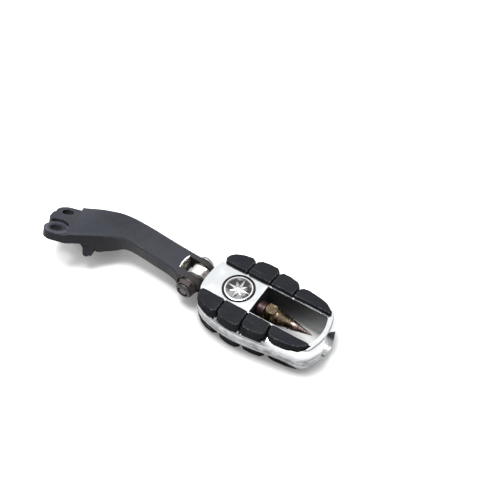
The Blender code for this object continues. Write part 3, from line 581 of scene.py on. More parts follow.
@dataclass(frozen=True)
class BracketPaint(Finish):
    """Semi-gloss dark paint on a forging, rubbed at its edges and bare in the clevis slot."""

    rubbed: Colour = (0.20, 0.20, 0.21)
    bare: Colour = (0.62, 0.57, 0.49)
    # The bright colour is the lip's bare steel under a painted highlight.
    bright: Colour = (0.86, 0.85, 0.83)
    slot_wall: Colour = (0.022, 0.021, 0.021)
    browned: Colour = (0.026, 0.0215, 0.0205)
    shaded: Colour = (0.005, 0.0046, 0.0052)
    slot_root: Vector = field(default_factory=Vector)
    slot_half_width: float = 0.0068
    lip_bow: float = 0.0011
    near_hole: Vector = field(default_factory=Vector)
    hole_ring_reach: float = 0.0120

    def painted(self, skin: Skin, grain: Sockets, wear: Sockets) -> Socket:
        """Draws the paint itself, with its wear, a painted highlight along its edges, painted shade mixed
        with grime in its corners, and a lighter ring round the nearer hole.

        Args:
            skin: The material's board.
            grain: The grain's outputs.
            wear: The edge wear's outputs.

        Returns:
            The colour's socket.
        """
        shade_and_grime = skin.effect(Effects.shade_and_grime(), Distance=0.006)
        cool = (self.colour[0] * 1.16, self.colour[1] * 1.21, self.colour[2] * 1.31)
        colour = skin.blend(grain["Broad"], self.shade(0.80), cool)
        colour = skin.coat(colour, grain["Middle"], 0.35, self.shade(1.35))
        # Painted highlight along the whole edge, then rubbed paint where the edge is worn.
        colour = skin.coat(colour, wear["Line"], 0.45, self.shade(2.8))
        colour = skin.coat(colour, wear["Mask"], 0.75, self.rubbed)
        # Painted shade mixed with grime in the corners.
        colour = skin.coat(colour, shade_and_grime["Mask"], 0.65, self.shade(0.45))
        # A lighter ring round the nearer hole.
        ball = skin.spot(self.near_hole, self.hole_ring_reach)
        ring = skin.times(skin.spread(ball, 0.06, 0.16), skin.fade(ball, 0.30, 0.42))
        ring = skin.times(ring, skin.spread(grain["Middle"], 0.1, 0.8, 0.35, 0.8))
        return skin.blend(ring, colour, self.shade(3.0))

    def paint(self, skin: Skin) -> None:
        """Draws the paint, the browned clevis, the slot's bare root, its bare curved lip with a painted
        highlight, and painted shade on the faces that do not look up.

        Args:
            skin: The material's board.
        """
        grain = skin.effect(Effects.grain(), Broad_scale=24.0, Middle_scale=150.0, Fine_scale=1500.0)
        wear = skin.effect(Effects.edge_wear_and_highlight(), Reach=0.0007, Breakup=330.0, Amount=0.62)
        colour = self.painted(skin, grain, wear)
        along, offset, height = skin.parts(skin.place(-self.slot_root))
        across = skin.size(offset)
        half = self.slot_half_width
        inside = skin.fade(across, half + 0.0001, half + 0.0003)
        walls = skin.times(inside, skin.spread(along, -0.0001, 0.0003))
        colour = skin.coat(colour, walls, 0.85, self.slot_wall)
        root = skin.times(inside, skin.fade(skin.size(along), 0.0002, 0.0004))
        root = skin.times(root, skin.fade(across, half - 0.0006, half - 0.0001))
        root = skin.times(root, skin.spread(height, -0.011, -0.004, 0.1, 1.0))
        share = skin.maths("DIVIDE", across, half)
        curved = skin.plus(along, skin.times(skin.left(skin.times(share, share)), self.lip_bow))
        top = skin.spread(height, -0.0010, -0.0006)
        past_lip = skin.spread(curved, -0.0003, 0.0)
        scoop = skin.times(past_lip, skin.fade(along, 0.0002, 0.0004), inside, top)
        lip = skin.times(skin.spread(curved, -0.0012, -0.0009), skin.fade(curved, -0.0003, 0.0), inside, top)
        slot = skin.most(root, scoop)
        colour = skin.coat(colour, skin.spread(along, -0.004, 0.012), 0.75, self.browned)
        blotch = skin.spread(skin.ripple(620.0), 0.42, 0.66)
        mottled = skin.blend(blotch, shade(self.bare, 0.07), shade(self.bare, 0.75))
        colour = skin.coat(colour, slot, 0.95, mottled)
        # The lip is bare worn steel with a painted highlight along it.
        lip_highlight = skin.times(lip, skin.spread(grain["Middle"], 0.0, 0.5, 0.55, 1.0))
        colour = skin.blend(lip_highlight, colour, self.bright)
        unpainted = skin.most(slot, lip)
        # Painted shade on the faces that do not look up, away from the bare steel.
        steep = skin.times(skin.fade(skin.facing_up(), 0.30, 0.75), skin.left(unpainted))
        skin.set("Base Color", skin.coat(colour, steep, 0.70, self.shaded))
        skin.set("Metallic", skin.most(skin.times(unpainted, 0.35), skin.times(wear["Mask"], 0.25)))
        rough = self.uneven(skin, grain["Broad"], 0.05, 0.08)
        skin.set("Roughness", skin.plus(rough, skin.times(grain["Fine"], 0.07)))
        skin.relief(skin.plus(skin.times(grain["Fine"], 0.35), skin.times(grain["Middle"], 0.9)), 0.00005)


@dataclass(frozen=True)
class BoltSteel(Finish):
    """Zinc-plated steel whose threaded end has browned."""

    browned_to: float = 0.0
    browned: Colour = (0.040, 0.030, 0.029)
    # The polished colour paints a highlight along the edges; the next colour paints shade mixed with dirt in
    # the corners.
    polished: Colour = (0.85, 0.85, 0.86)
    shade_and_dirt: Colour = (0.03, 0.028, 0.027)

    def paint(self, skin: Skin) -> None:
        """Draws the plating, its browned end, a painted highlight along its edges and painted shade mixed
        with dirt in its corners.

        Args:
            skin: The material's board.
        """
        grain = skin.effect(Effects.grain())
        wear = skin.effect(Effects.edge_wear_and_highlight(), Reach=0.0005)
        shade_and_grime = skin.effect(Effects.shade_and_grime(), Distance=0.002)
        end = skin.fade(skin.parts(skin.place(ACROSS * -self.browned_to))[1], -0.001, 0.001)
        colour = skin.coat(self.colour, grain["Middle"], 0.35, self.shade(0.6))
        # Painted highlight along the whole edge.
        colour = skin.coat(colour, wear["Line"], 0.4, self.polished)
        colour = skin.blend(end, colour, self.browned)
        # Painted shade mixed with dirt in the corners.
        skin.set("Base Color", skin.coat(colour, shade_and_grime["Mask"], 0.8, self.shade_and_dirt))
        skin.set("Metallic", skin.left(skin.times(end, 0.5)))
        skin.set("Roughness", skin.plus(self.roughness, skin.times(grain["Broad"], 0.12)))
        skin.relief(grain["Fine"], 0.00002)


@dataclass(frozen=True)
class TongueSteel(Finish):
    """Bright machined steel with a browned patch where it meets the peg."""

    patch_from: float = 0.0
    near_side: float = 0.0
    slant: float = 0.24
    patch: Colour = (0.062, 0.053, 0.050)
    dulled: Colour = (0.70, 0.67, 0.62)
    # The next colour paints shade mixed with dirt in corners, and rim paints shade along the nearer rim,
    # beside the ear.
    shade_and_dirt: Colour = (0.09, 0.08, 0.07)
    rim: Colour = (0.012, 0.011, 0.010)

    def paint(self, skin: Skin) -> None:
        """Draws the steel, its slanted ragged patch, painted shade mixed with dirt in its corners and
        painted shade along its nearer rim.

        Args:
            skin: The material's board.
        """
        grain = skin.effect(Effects.grain(), Broad_scale=150.0, Middle_scale=600.0, Fine_scale=2600.0)
        shade_and_grime = skin.effect(Effects.shade_and_grime(), Distance=0.002)
        along, across, _ = skin.parts(skin.place(Vector((-self.patch_from, -self.near_side, 0.0))))
        ragged = skin.plus(along, skin.times(skin.minus(grain["Middle"], 0.5), 0.0020))
        ragged = skin.minus(ragged, skin.times(across, self.slant))
        browned = skin.spread(ragged, -0.0005, 0.0004)
        colour = skin.coat(self.colour, grain["Middle"], 0.12, self.dulled)
        spots = skin.blend(skin.spread(grain["Broad"], 0.2, 0.8), self.patch, shade(self.patch, 4.0))
        colour = skin.coat(colour, browned, 0.9, spots)
        # Painted shade mixed with dirt in the corners, then painted shade along the nearer rim, beside the
        # ear.
        colour = skin.coat(colour, shade_and_grime["Mask"], 0.6, self.shade_and_dirt)
        skin.set("Base Color", skin.coat(colour, skin.fade(across, 0.0022, 0.0030), 0.92, self.rim))
        skin.set("Metallic", skin.times(skin.left(skin.times(browned, 0.3)), self.metallic))
        skin.set("Roughness", skin.plus(self.roughness, skin.times(grain["Broad"], 0.1)))
        skin.relief(grain["Middle"], 0.00002)


@dataclass(frozen=True)
class CastChrome(Finish):
    """Plated casting: smudged deck, scuffed sides, and a dull as-cast skin in its window and nose hole."""

    middle_height: float = 0.0167
    deck_height: float = 0.0300
    centre: Vector = field(default_factory=Vector)
    window_start: float = 0.0190
    window_end: float = 0.0776
    window_half_width: float = 0.0146
    window_depth: float = 0.026
    nose_hole: float = 0.0108
    bore_height: float = 0.0184
    smudged: Colour = (0.70, 0.74, 0.77)
    # Painted shade on the steep sides, which are greyer than the deck.
    side_painted_shade: Colour = (0.42, 0.42, 0.435)
    streaked: Colour = (0.13, 0.13, 0.137)
    speckled: Colour = (0.14, 0.14, 0.14)
    # Painted highlight on the nose bevel, and the next colour a painted shade line along the deck edge.
    bevel_painted_highlight: Colour = (0.80, 0.805, 0.81)
    edge_painted_shade: Colour = (0.07, 0.07, 0.075)
    scratched: Colour = (0.16, 0.155, 0.155)
    # The polished colour paints a highlight along the edges.
    polished: Colour = (0.97, 0.97, 0.98)
    # Painted shade on the low webs between the lower pads.
    web_painted_shade: Colour = (0.03, 0.03, 0.032)
    # Painted shade mixed with dirt in corners.
    shade_and_dirt: Colour = (0.06, 0.058, 0.056)
    # Ends of the painted shade and painted light on the dull skin of the openings.
    dull_in_painted_shade: Colour = (0.014, 0.0145, 0.018)
    dull_in_painted_light: Colour = (0.60, 0.61, 0.62)

    def openings(self, skin: Skin, place: tuple[Socket, Socket, Socket]) -> tuple[Socket, Socket]:
        """Finds the walls of the window and of the nose hole, and their painted light and shade.

        Args:
            skin: The material's board.
            place: Distance along and across the peg from the medallion, and height over the floor.

        Returns:
            The mask of the walls, and how light the skin is there, which is painted light and shade.
        """
        along, across, height = place
        up = skin.facing_up()
        half = self.window_half_width
        in_nose = skin.spread(along, self.window_end, self.window_end + 0.0004)
        walls = skin.fade(skin.size(across), half + 0.0003, half + 0.0006)
        walls = skin.times(walls, skin.spread(along, self.window_start - 0.0006, self.window_start - 0.0003))
        walls = skin.times(walls, skin.left(in_nose), skin.fade(skin.size(up), 0.5, 0.75))
        low = skin.minus(height, self.bore_height)
        reach = skin.maths("SQRT", skin.plus(skin.times(across, across), skin.times(low, low)))
        hole = skin.times(skin.fade(reach, self.nose_hole + 0.0001, self.nose_hole + 0.0003), in_nose)
        # Painted light and shade on the window walls: darker towards the deck and the window's left end,
        # lighter towards the nose and lower down.
        run = skin.minus(along, self.window_start)
        run = skin.maths("DIVIDE", run, self.window_end - self.window_start)
        depth = skin.maths("DIVIDE", skin.minus(self.deck_height, height), self.window_depth)
        light = skin.spread(skin.plus(skin.times(run, 0.78), skin.times(depth, 0.42)), 0.30, 1.12)
        light = skin.plus(skin.times(light, light, 0.68), 0.045)
        # Painted light and shade in the nose hole: lighter where it faces up, darker towards its nearer
        # side.
        lit = skin.spread(up, 0.42, 0.80, 0.11, 1.15)
        lit = skin.times(lit, skin.spread(across, -0.0064, -0.0040, 0.22, 1.0))
        light = skin.plus(skin.times(light, skin.left(hole)), skin.times(hole, lit))
        # Painted shade just under the deck, at the window's mouth.
        mouth = skin.times(walls, skin.spread(height, self.deck_height - 0.0014, self.deck_height - 0.0009))
        return skin.most(walls, hole), skin.times(light, skin.left(skin.times(mouth, 0.8)))

    def band(self, skin: Skin, height: Socket, side: Socket) -> tuple[Socket, Socket]:
        """Finds the scuffed band round the casting's sides.

        Args:
            skin: The material's board.
            height: Height over the floor.
            side: The mask of the steep faces.

        Returns:
            The mask of the band, and that of its grey streaks, which thin out upwards.
        """
        off_middle = skin.size(skin.minus(height, self.middle_height))
        band = skin.times(skin.fade(off_middle, 0.002, 0.0085), side)
        clouds = skin.ripple(240.0, 6.0, 0.65, skin.place(scale=Vector((0.6, 0.6, 1.0))))
        low_half = skin.spread(height, self.middle_height - 0.0060, self.middle_height + 0.0050, 1.0, 0.68)
        streak = skin.times(skin.spread(clouds, 0.28, 0.72), low_half)
        return band, skin.times(band, skin.plus(0.31, skin.times(streak, 0.95)), clamp=True)

    def paint(self, skin: Skin) -> None:
        """Draws the plating, its marks, the dull skin of its openings with painted light and shade, painted
        shade on its sides, webs and corners, and painted highlights on its edges and nose bevel.

        Args:
            skin: The material's board.
        """
        grain = skin.effect(Effects.grain(), Broad_scale=60.0, Middle_scale=420.0, Fine_scale=3200.0)
        wear = skin.effect(Effects.edge_wear_and_highlight(), Reach=0.0006, Breakup=420.0, Amount=0.5)
        shade_and_grime = skin.effect(Effects.shade_and_grime(), Distance=0.0035)
        scuffs = skin.effect(Effects.scuffs(), Scale=420.0, Amount=0.42)
        up = skin.facing_up()
        side = skin.fade(skin.size(up), 0.35, 0.85)
        place = skin.parts(skin.place(-self.centre))
        along, _, height = place
        band, streaks = self.band(skin, height, side)
        colour = skin.coat(self.colour, grain["Broad"], 0.22, self.smudged)
        # Painted shade: the steep sides greyer than the deck.
        colour = skin.coat(colour, side, 0.55, self.side_painted_shade)
        colour = skin.coat(colour, streaks, 0.90, self.streaked)
        specks = skin.add("TexVoronoi")
        skin.feed(specks.inputs["Vector"], skin.place())
        skin.feed(specks.inputs["Scale"], 210.0)
        dots = skin.fade(specks.outputs["Distance"], 0.11, 0.18)
        dots = skin.times(dots, skin.spread(grain["Broad"], 0.62, 0.90))
        colour = skin.coat(colour, dots, 0.55, self.speckled)
        # Painted highlight on the nose bevel, with a painted shade line along its top edge.
        bevel = skin.times(skin.fade(up, 0.90, 0.97), skin.spread(up, 0.45, 0.6))
        bevel = skin.times(bevel, skin.spread(along, 0.050, 0.062))
        colour = skin.coat(colour, bevel, 0.9, self.bevel_painted_highlight)
        off_edge = skin.size(skin.minus(height, self.deck_height - 0.0010))
        edge_line = skin.times(bevel, skin.fade(off_edge, 0.0002, 0.0006))
        colour = skin.coat(colour, edge_line, 0.75, self.edge_painted_shade)
        marked = skin.times(scuffs["Mask"], skin.plus(0.07, skin.times(band, 0.6)))
        colour = skin.blend(marked, colour, self.scratched)
        # Painted highlight along the whole edge.
        colour = skin.coat(colour, wear["Line"], 0.5, self.polished)
        # Painted shade on the low webs between the lower pads.
        low_web = skin.fade(height, self.middle_height - 0.0079, self.middle_height - 0.0067)
        low_web = skin.times(low_web, side, skin.fade(along, 0.060, 0.068))
        colour = skin.coat(colour, low_web, 0.9, self.web_painted_shade)
        walls, light = self.openings(skin, place)
        # The dull skin of the openings, with its painted light and shade.
        dull = skin.blend(light, self.dull_in_painted_shade, self.dull_in_painted_light)
        dull = skin.coat(dull, grain["Middle"], 0.25, skin.blend(0.4, dull, (0.0, 0.0, 0.0)))
        colour = skin.blend(walls, colour, dull)
        # Painted shade mixed with dirt in the corners.
        skin.set("Base Color", skin.coat(colour, shade_and_grime["Mask"], 0.75, self.shade_and_dirt))
        skin.set("Metallic", skin.left(skin.most(skin.times(walls, 0.55), skin.times(bevel, 0.75))))
        rough = skin.plus(self.uneven(skin, grain["Broad"], 0.05, 0.06), skin.times(streaks, 0.20))
        rough = skin.plus(rough, skin.times(walls, 0.22))
        skin.set("Roughness", skin.plus(rough, skin.times(scuffs["Mask"], 0.12), clamp=True))
        skin_height = skin.times(grain["Middle"], skin.plus(0.15, band))
        skin.relief(skin.minus(skin_height, skin.times(scuffs["Mask"], 0.4)), 0.00003)


@dataclass(frozen=True)
class TreadRubber(Finish):
    """Moulded rubber, greyed where boots rub it."""

    rubbed: Colour = (0.12, 0.12, 0.118)

    def paint(self, skin: Skin) -> None:
        """Draws the rubber, a painted highlight along its ridges, which are also rubbed, painted shade mixed
        with grime in its corners, and painted shade on its steep sides.

        Args:
            skin: The material's board.
        """
        grain = skin.effect(Effects.grain(), Broad_scale=85.0, Middle_scale=520.0, Fine_scale=3000.0)
        wear = skin.effect(Effects.edge_wear_and_highlight(), Reach=0.0014, Breakup=360.0, Amount=0.80)
        scuffs = skin.effect(Effects.scuffs(), Scale=300.0, Amount=0.62)
        shade_and_grime = skin.effect(Effects.shade_and_grime(), Distance=0.004)
        colour = skin.blend(grain["Broad"], self.colour, self.shade(1.7))
        colour = skin.coat(colour, grain["Middle"], 0.3, self.shade(2.1))
        # Painted highlight along the ridges; broken parts of them are rubbed.
        ridge = skin.spread(skin.add("NewGeometry").outputs["Pointiness"], 0.512, 0.545)
        colour = skin.coat(colour, ridge, 0.6, self.shade(4.0))
        broken = skin.times(ridge, skin.spread(grain["Middle"], 0.55, 0.85))
        colour = skin.coat(colour, broken, 0.8, self.rubbed)
        colour = skin.coat(colour, wear["Mask"], 0.60, self.rubbed)
        near_edge = skin.times(skin.plus(0.25, skin.times(ridge, 0.75)), 0.7)
        colour = skin.coat(colour, scuffs["Mask"], near_edge, self.rubbed)
        # Painted shade mixed with grime in the corners.
        colour = skin.coat(colour, shade_and_grime["Mask"], 0.6, self.shade(0.4))
        # Painted shade on the steep sides, away from the ridges.
        steep = skin.fade(skin.size(skin.facing_up()), 0.40, 0.85)
        shaded = skin.times(skin.minus(steep, ridge, clamp=True), 0.6)
        skin.set("Base Color", skin.blend(shaded, colour, self.shade(0.3)))
        rough = self.uneven(skin, grain["Broad"], 0.10, 0.08)
        skin.set("Roughness", skin.plus(rough, skin.times(steep, 0.2), clamp=True))
        height = skin.plus(skin.times(grain["Fine"], 0.3), grain["Middle"])
        skin.relief(skin.plus(height, skin.times(grain["Broad"], 1.6)), 0.00011)


@dataclass(frozen=True)
class SpikeMetal(Finish):
    """Worn bronze on the hexagon and waist, and bright metal with rust spots towards the point."""

    rust: Colour = (0.070, 0.034, 0.028)
    bright: Colour = (0.23, 0.175, 0.165)
    gilt: Colour = (0.40, 0.30, 0.16)
    worn: Colour = (0.50, 0.43, 0.30)
    # Painted shade mixed with dirt in corners.
    shade_and_dirt: Colour = (0.05, 0.035, 0.03)
    bright_from: float = 0.0
    bright_roughness: float = 0.2

    def paint(self, skin: Skin) -> None:
        """Draws the bronze, the bright point, the rust, and painted shade mixed with dirt in its corners.

        Args:
            skin: The material's board.
        """
        grain = skin.effect(Effects.grain(), Broad_scale=190.0, Middle_scale=520.0, Fine_scale=2600.0)
        wear = skin.effect(Effects.edge_wear_and_highlight(), Reach=0.0005, Breakup=500.0, Amount=0.7)
        shade_and_grime = skin.effect(Effects.shade_and_grime(), Distance=0.003)
        polished = skin.spread(skin.parts(skin.place(ALONG * -self.bright_from))[0], -0.0015, 0.0025)
        colour = skin.blend(grain["Broad"], self.shade(0.6), self.shade(1.25))
        colour = skin.blend(polished, colour, self.bright)
        gilt = skin.times(skin.spread(grain["Middle"], 0.72, 0.95), skin.left(polished))
        colour = skin.coat(colour, gilt, 0.6, self.gilt)
        rusted = skin.times(skin.spread(grain["Broad"], 0.42, 0.72), skin.spread(grain["Middle"], 0.2, 0.55))
        rusted = skin.times(rusted, skin.spread(polished, 0.0, 1.0, 0.55, 0.8))
        colour = skin.blend(rusted, colour, self.rust)
        colour = skin.coat(colour, wear["Mask"], 0.6, self.worn)
        # Painted shade mixed with dirt in the corners.
        skin.set("Base Color", skin.coat(colour, shade_and_grime["Mask"], 0.7, self.shade_and_dirt))
        skin.set("Metallic", skin.left(skin.times(rusted, 0.7)))
        rough = skin.spread(polished, 0.0, 1.0, self.roughness, self.bright_roughness)
        rough = skin.plus(rough, skin.times(rusted, 0.35))
        skin.set("Roughness", skin.plus(rough, skin.times(grain["Middle"], 0.08)))
        skin.relief(skin.plus(grain["Middle"], rusted), 0.00005)


@dataclass(frozen=True)
class MedallionSilver(Finish):
    """Polished silver with a black ring and dark paint left in the low parts of the field."""

    centre: Vector = field(default_factory=Vector)
    rim: float = 0.0119
    face: float = 0.0109
    deck: float = 0.03
    black: Colour = (0.004, 0.004, 0.005)

    def paint(self, skin: Skin) -> None:
        """Draws the silver, the black ring, the field and the dark line inside the rim.

        Args:
            skin: The material's board.
        """
        grain = skin.effect(Effects.grain(), Broad_scale=120.0, Middle_scale=700.0, Fine_scale=3000.0)
        shade_and_grime = skin.effect(Effects.shade_and_grime(), Distance=0.0022, Breakup=900.0)
        height = skin.parts(skin.place(UP * -self.deck))[2]
        outward = skin.length(skin.place(-self.centre, Vector((1.0, 1.0, 0.0))))
        past_rim = skin.spread(outward, self.rim - 0.00005, self.rim + 0.0001)
        ring = skin.times(past_rim, skin.fade(height, -0.0003, -0.0001))
        sunk = skin.fade(height, -0.00052, -0.00025)
        sunk = skin.times(sunk, skin.fade(outward, self.face - 0.0002, self.face))
        worn = skin.times(skin.spread(grain["Broad"], 0.55, 1.0), 0.22)
        sunk = skin.times(sunk, skin.minus(0.99, worn))
        edge_line = skin.times(
            skin.spread(outward, self.face - 0.0011, self.face - 0.0005),
            skin.fade(outward, self.face, self.face + 0.0002),
        )
        dark = skin.most(sunk, skin.times(edge_line, 0.75), skin.times(shade_and_grime["Mask"], 0.9), ring)
        skin.set("Base Color", skin.blend(dark, self.colour, self.black))
        skin.set("Metallic", skin.left(dark))
        rough = self.uneven(skin, grain["Broad"], 0.04, 0.08)
        skin.set("Roughness", skin.plus(skin.times(dark, 0.25), rough))
        skin.relief(grain["Middle"], 0.00002)


class Meshes:
    """Small shared jobs on meshes."""

    @staticmethod
    def merged_copy(node: str) -> bmesh.types.BMesh:
        """Copies a frame node into a joined-up mesh without its triangle cuts.

        Args:
            node: Name of the frame's node.

        Returns:
            The copy, its doubles merged and its small flat faces joined.
        """
        bm = bmesh.new()
        bm.from_mesh(bpy.data.objects[node].data)
        bmesh.ops.remove_doubles(bm, verts=bm.verts, dist=2e-6)
        bmesh.ops.dissolve_degenerate(bm, edges=bm.edges, dist=2e-6)
        bmesh.ops.dissolve_limit(bm, angle_limit=math.radians(0.6), verts=bm.verts, edges=bm.edges)
        bmesh.ops.triangulate(bm, faces=[face for face in bm.faces if len(face.verts) > 12])
        return bm

    @staticmethod
    def keep(bm: bmesh.types.BMesh, name: str, crease: float = 30.0) -> bpy.types.Object:
        """Turns a bmesh into a smooth-shaded object with sharp creases.

        Args:
            bm: The mesh, which is freed.
            name: Name of the piece.
            crease: Angle in degrees above which an edge stays sharp.

        Returns:
            The new object, linked to the scene.
        """
        for face in bm.faces:
            face.smooth = True
            face.material_index = 0
        mesh = bpy.data.meshes.new(name)
        bm.to_mesh(mesh)
        bm.free()
        for extra in ("custom_normal", "sharp_face"):
            if extra in mesh.attributes:
                mesh.attributes.remove(mesh.attributes[extra])
        mesh.materials.clear()
        mesh.set_sharp_from_angle(angle=math.radians(crease))
        obj = bpy.data.objects.new(name, mesh)
        bpy.context.scene.collection.objects.link(obj)
        return obj

    @staticmethod
    def evaluated(obj: bpy.types.Object) -> bmesh.types.BMesh:
        """Gives an object's mesh with its modifiers applied, and removes the object.

        Args:
            obj: The object.

        Returns:
            The mesh.
        """
        graph = bpy.context.evaluated_depsgraph_get()
        bm = bmesh.new()
        bm.from_mesh(obj.evaluated_get(graph).to_mesh())
        Meshes.remove(obj)
        return bm

    @staticmethod
    def remove(obj: bpy.types.Object) -> None:
        """Removes an object and its mesh.

        Args:
            obj: The object.
        """
        mesh = obj.data
        bpy.data.objects.remove(obj)
        bpy.data.meshes.remove(mesh)

    @staticmethod
    def round_edges(obj: bpy.types.Object, width: float, angle: float = 30.0, segments: int = 2) -> None:
        """Adds a live bevel.

        Args:
            obj: The piece.
            width: Width of the bevel.
            angle: Smallest turn, in degrees, of an edge that is bevelled.
            segments: Faces across the bevel.
        """
        bevel = obj.modifiers.new("round_edges", "BEVEL")
        bevel.width = width
        bevel.segments = segments
        bevel.limit_method = "ANGLE"
        bevel.angle_limit = math.radians(angle)
        bevel.harden_normals = True
        bevel.miter_outer = "MITER_ARC"

    @staticmethod
    def spun(profile: Profile, centre: Vector, axis: Vector, steps: int = ROUND_STEPS) -> bmesh.types.BMesh:
        """Spins a profile round an axis.

        Args:
            profile: Points as (distance along the axis, radius).
            centre: Where the distance is 0.
            axis: Unit vector of the axis.
            steps: Faces round the circle.

        Returns:
            The closed mesh.
        """
        bm = bmesh.new()
        across = axis.orthogonal().normalized()
        made = [bm.verts.new(centre + axis * along + across * radius) for along, radius in profile]
        edges = [bm.edges.new(pair) for pair in zip(made, made[1:])]
        bmesh.ops.spin(
            bm, geom=made + edges, cent=centre, axis=axis, dvec=Vector(), angle=math.tau, steps=steps,
            use_merge=True, use_normal_flip=False, use_duplicate=False,
        )
        bmesh.ops.remove_doubles(bm, verts=bm.verts, dist=1e-6)
        bmesh.ops.recalc_face_normals(bm, faces=bm.faces)
        return bm

    @staticmethod
    def cut_by(bm: bmesh.types.BMesh, tool: bmesh.types.BMesh, operation: str) -> bmesh.types.BMesh:
        """Combines two meshes with an exact Boolean.

        Args:
            bm: The mesh that is kept, which is freed.
            tool: The other mesh, which is freed.
            operation: DIFFERENCE, UNION or INTERSECT.

        Returns:
            The combined mesh.
        """
        first = Meshes.keep(bm, "boolean_base")
        second = Meshes.keep(tool, "boolean_tool")
        modifier = first.modifiers.new("combine", "BOOLEAN")
        modifier.operation = operation
        modifier.solver = "EXACT"
        modifier.object = second
        result = Meshes.evaluated(first)
        bmesh.ops.remove_doubles(result, verts=result.verts, dist=1e-6)
        Meshes.remove(second)
        return result

    @staticmethod
    def hexagon_prism(centre: Vector, axis: Vector, across_flats: float, length: float) -> bmesh.types.BMesh:
        """Makes a six-sided prism with a flat facing up.

        Args:
            centre: Middle of its first end.
            axis: Unit vector along it.
            across_flats: Distance between opposite flats.
            length: Its length.

        Returns:
            The prism.
        """
        bm = bmesh.new()
        corner = across_flats / math.sqrt(3.0)
        bmesh.ops.create_cone(bm, cap_ends=True, segments=6, radius1=corner, radius2=corner, depth=length)
        turn = axis.to_track_quat("Z", "Y").to_matrix().to_4x4()
        lie = Matrix.Translation(centre + axis * (length / 2)) @ turn
        bmesh.ops.transform(bm, matrix=lie, verts=bm.verts)
        if max(vert.co.z for vert in bm.verts) - centre.z > corner - 1e-5:
            sixth = Matrix.Rotation(math.radians(30.0), 3, axis)
            bmesh.ops.rotate(bm, cent=centre, matrix=sixth, verts=bm.verts)
        return bm


def dress(
    obj: bpy.types.Object, material: bpy.types.Material, body: Body, slot: Slot, *nodes: str
) -> bpy.types.Object:
    """Gives a piece its material, its body and the frame nodes that it stands for.

    Args:
        obj: The piece.
        material: Its finish.
        body: The body that it moves with.
        slot: The record's material slot; not used.
        *nodes: The frame's nodes that it replaces.

    Returns:
        The same piece.
    """
    obj.data.materials.append(material)
    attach(obj, body.value)
    if nodes:
        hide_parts(*nodes)
    LOG.info("%s rides on %s", obj.name, body.value)
    return obj


def middle(node: str) -> Vector:
    """Returns the middle of a frame node's box."""
    low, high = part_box(node)
    return (low + high) / 2


def low_end(node: str, axis: int) -> Vector:
    """Finds the middle of a frame node's low end.

    Args:
        node: The node's name.
        axis: The number of the axis that it lies along.

    Returns:
        The middle of the end.
    """
    centre = middle(node)
    centre[axis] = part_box(node)[0][axis]
    return centre


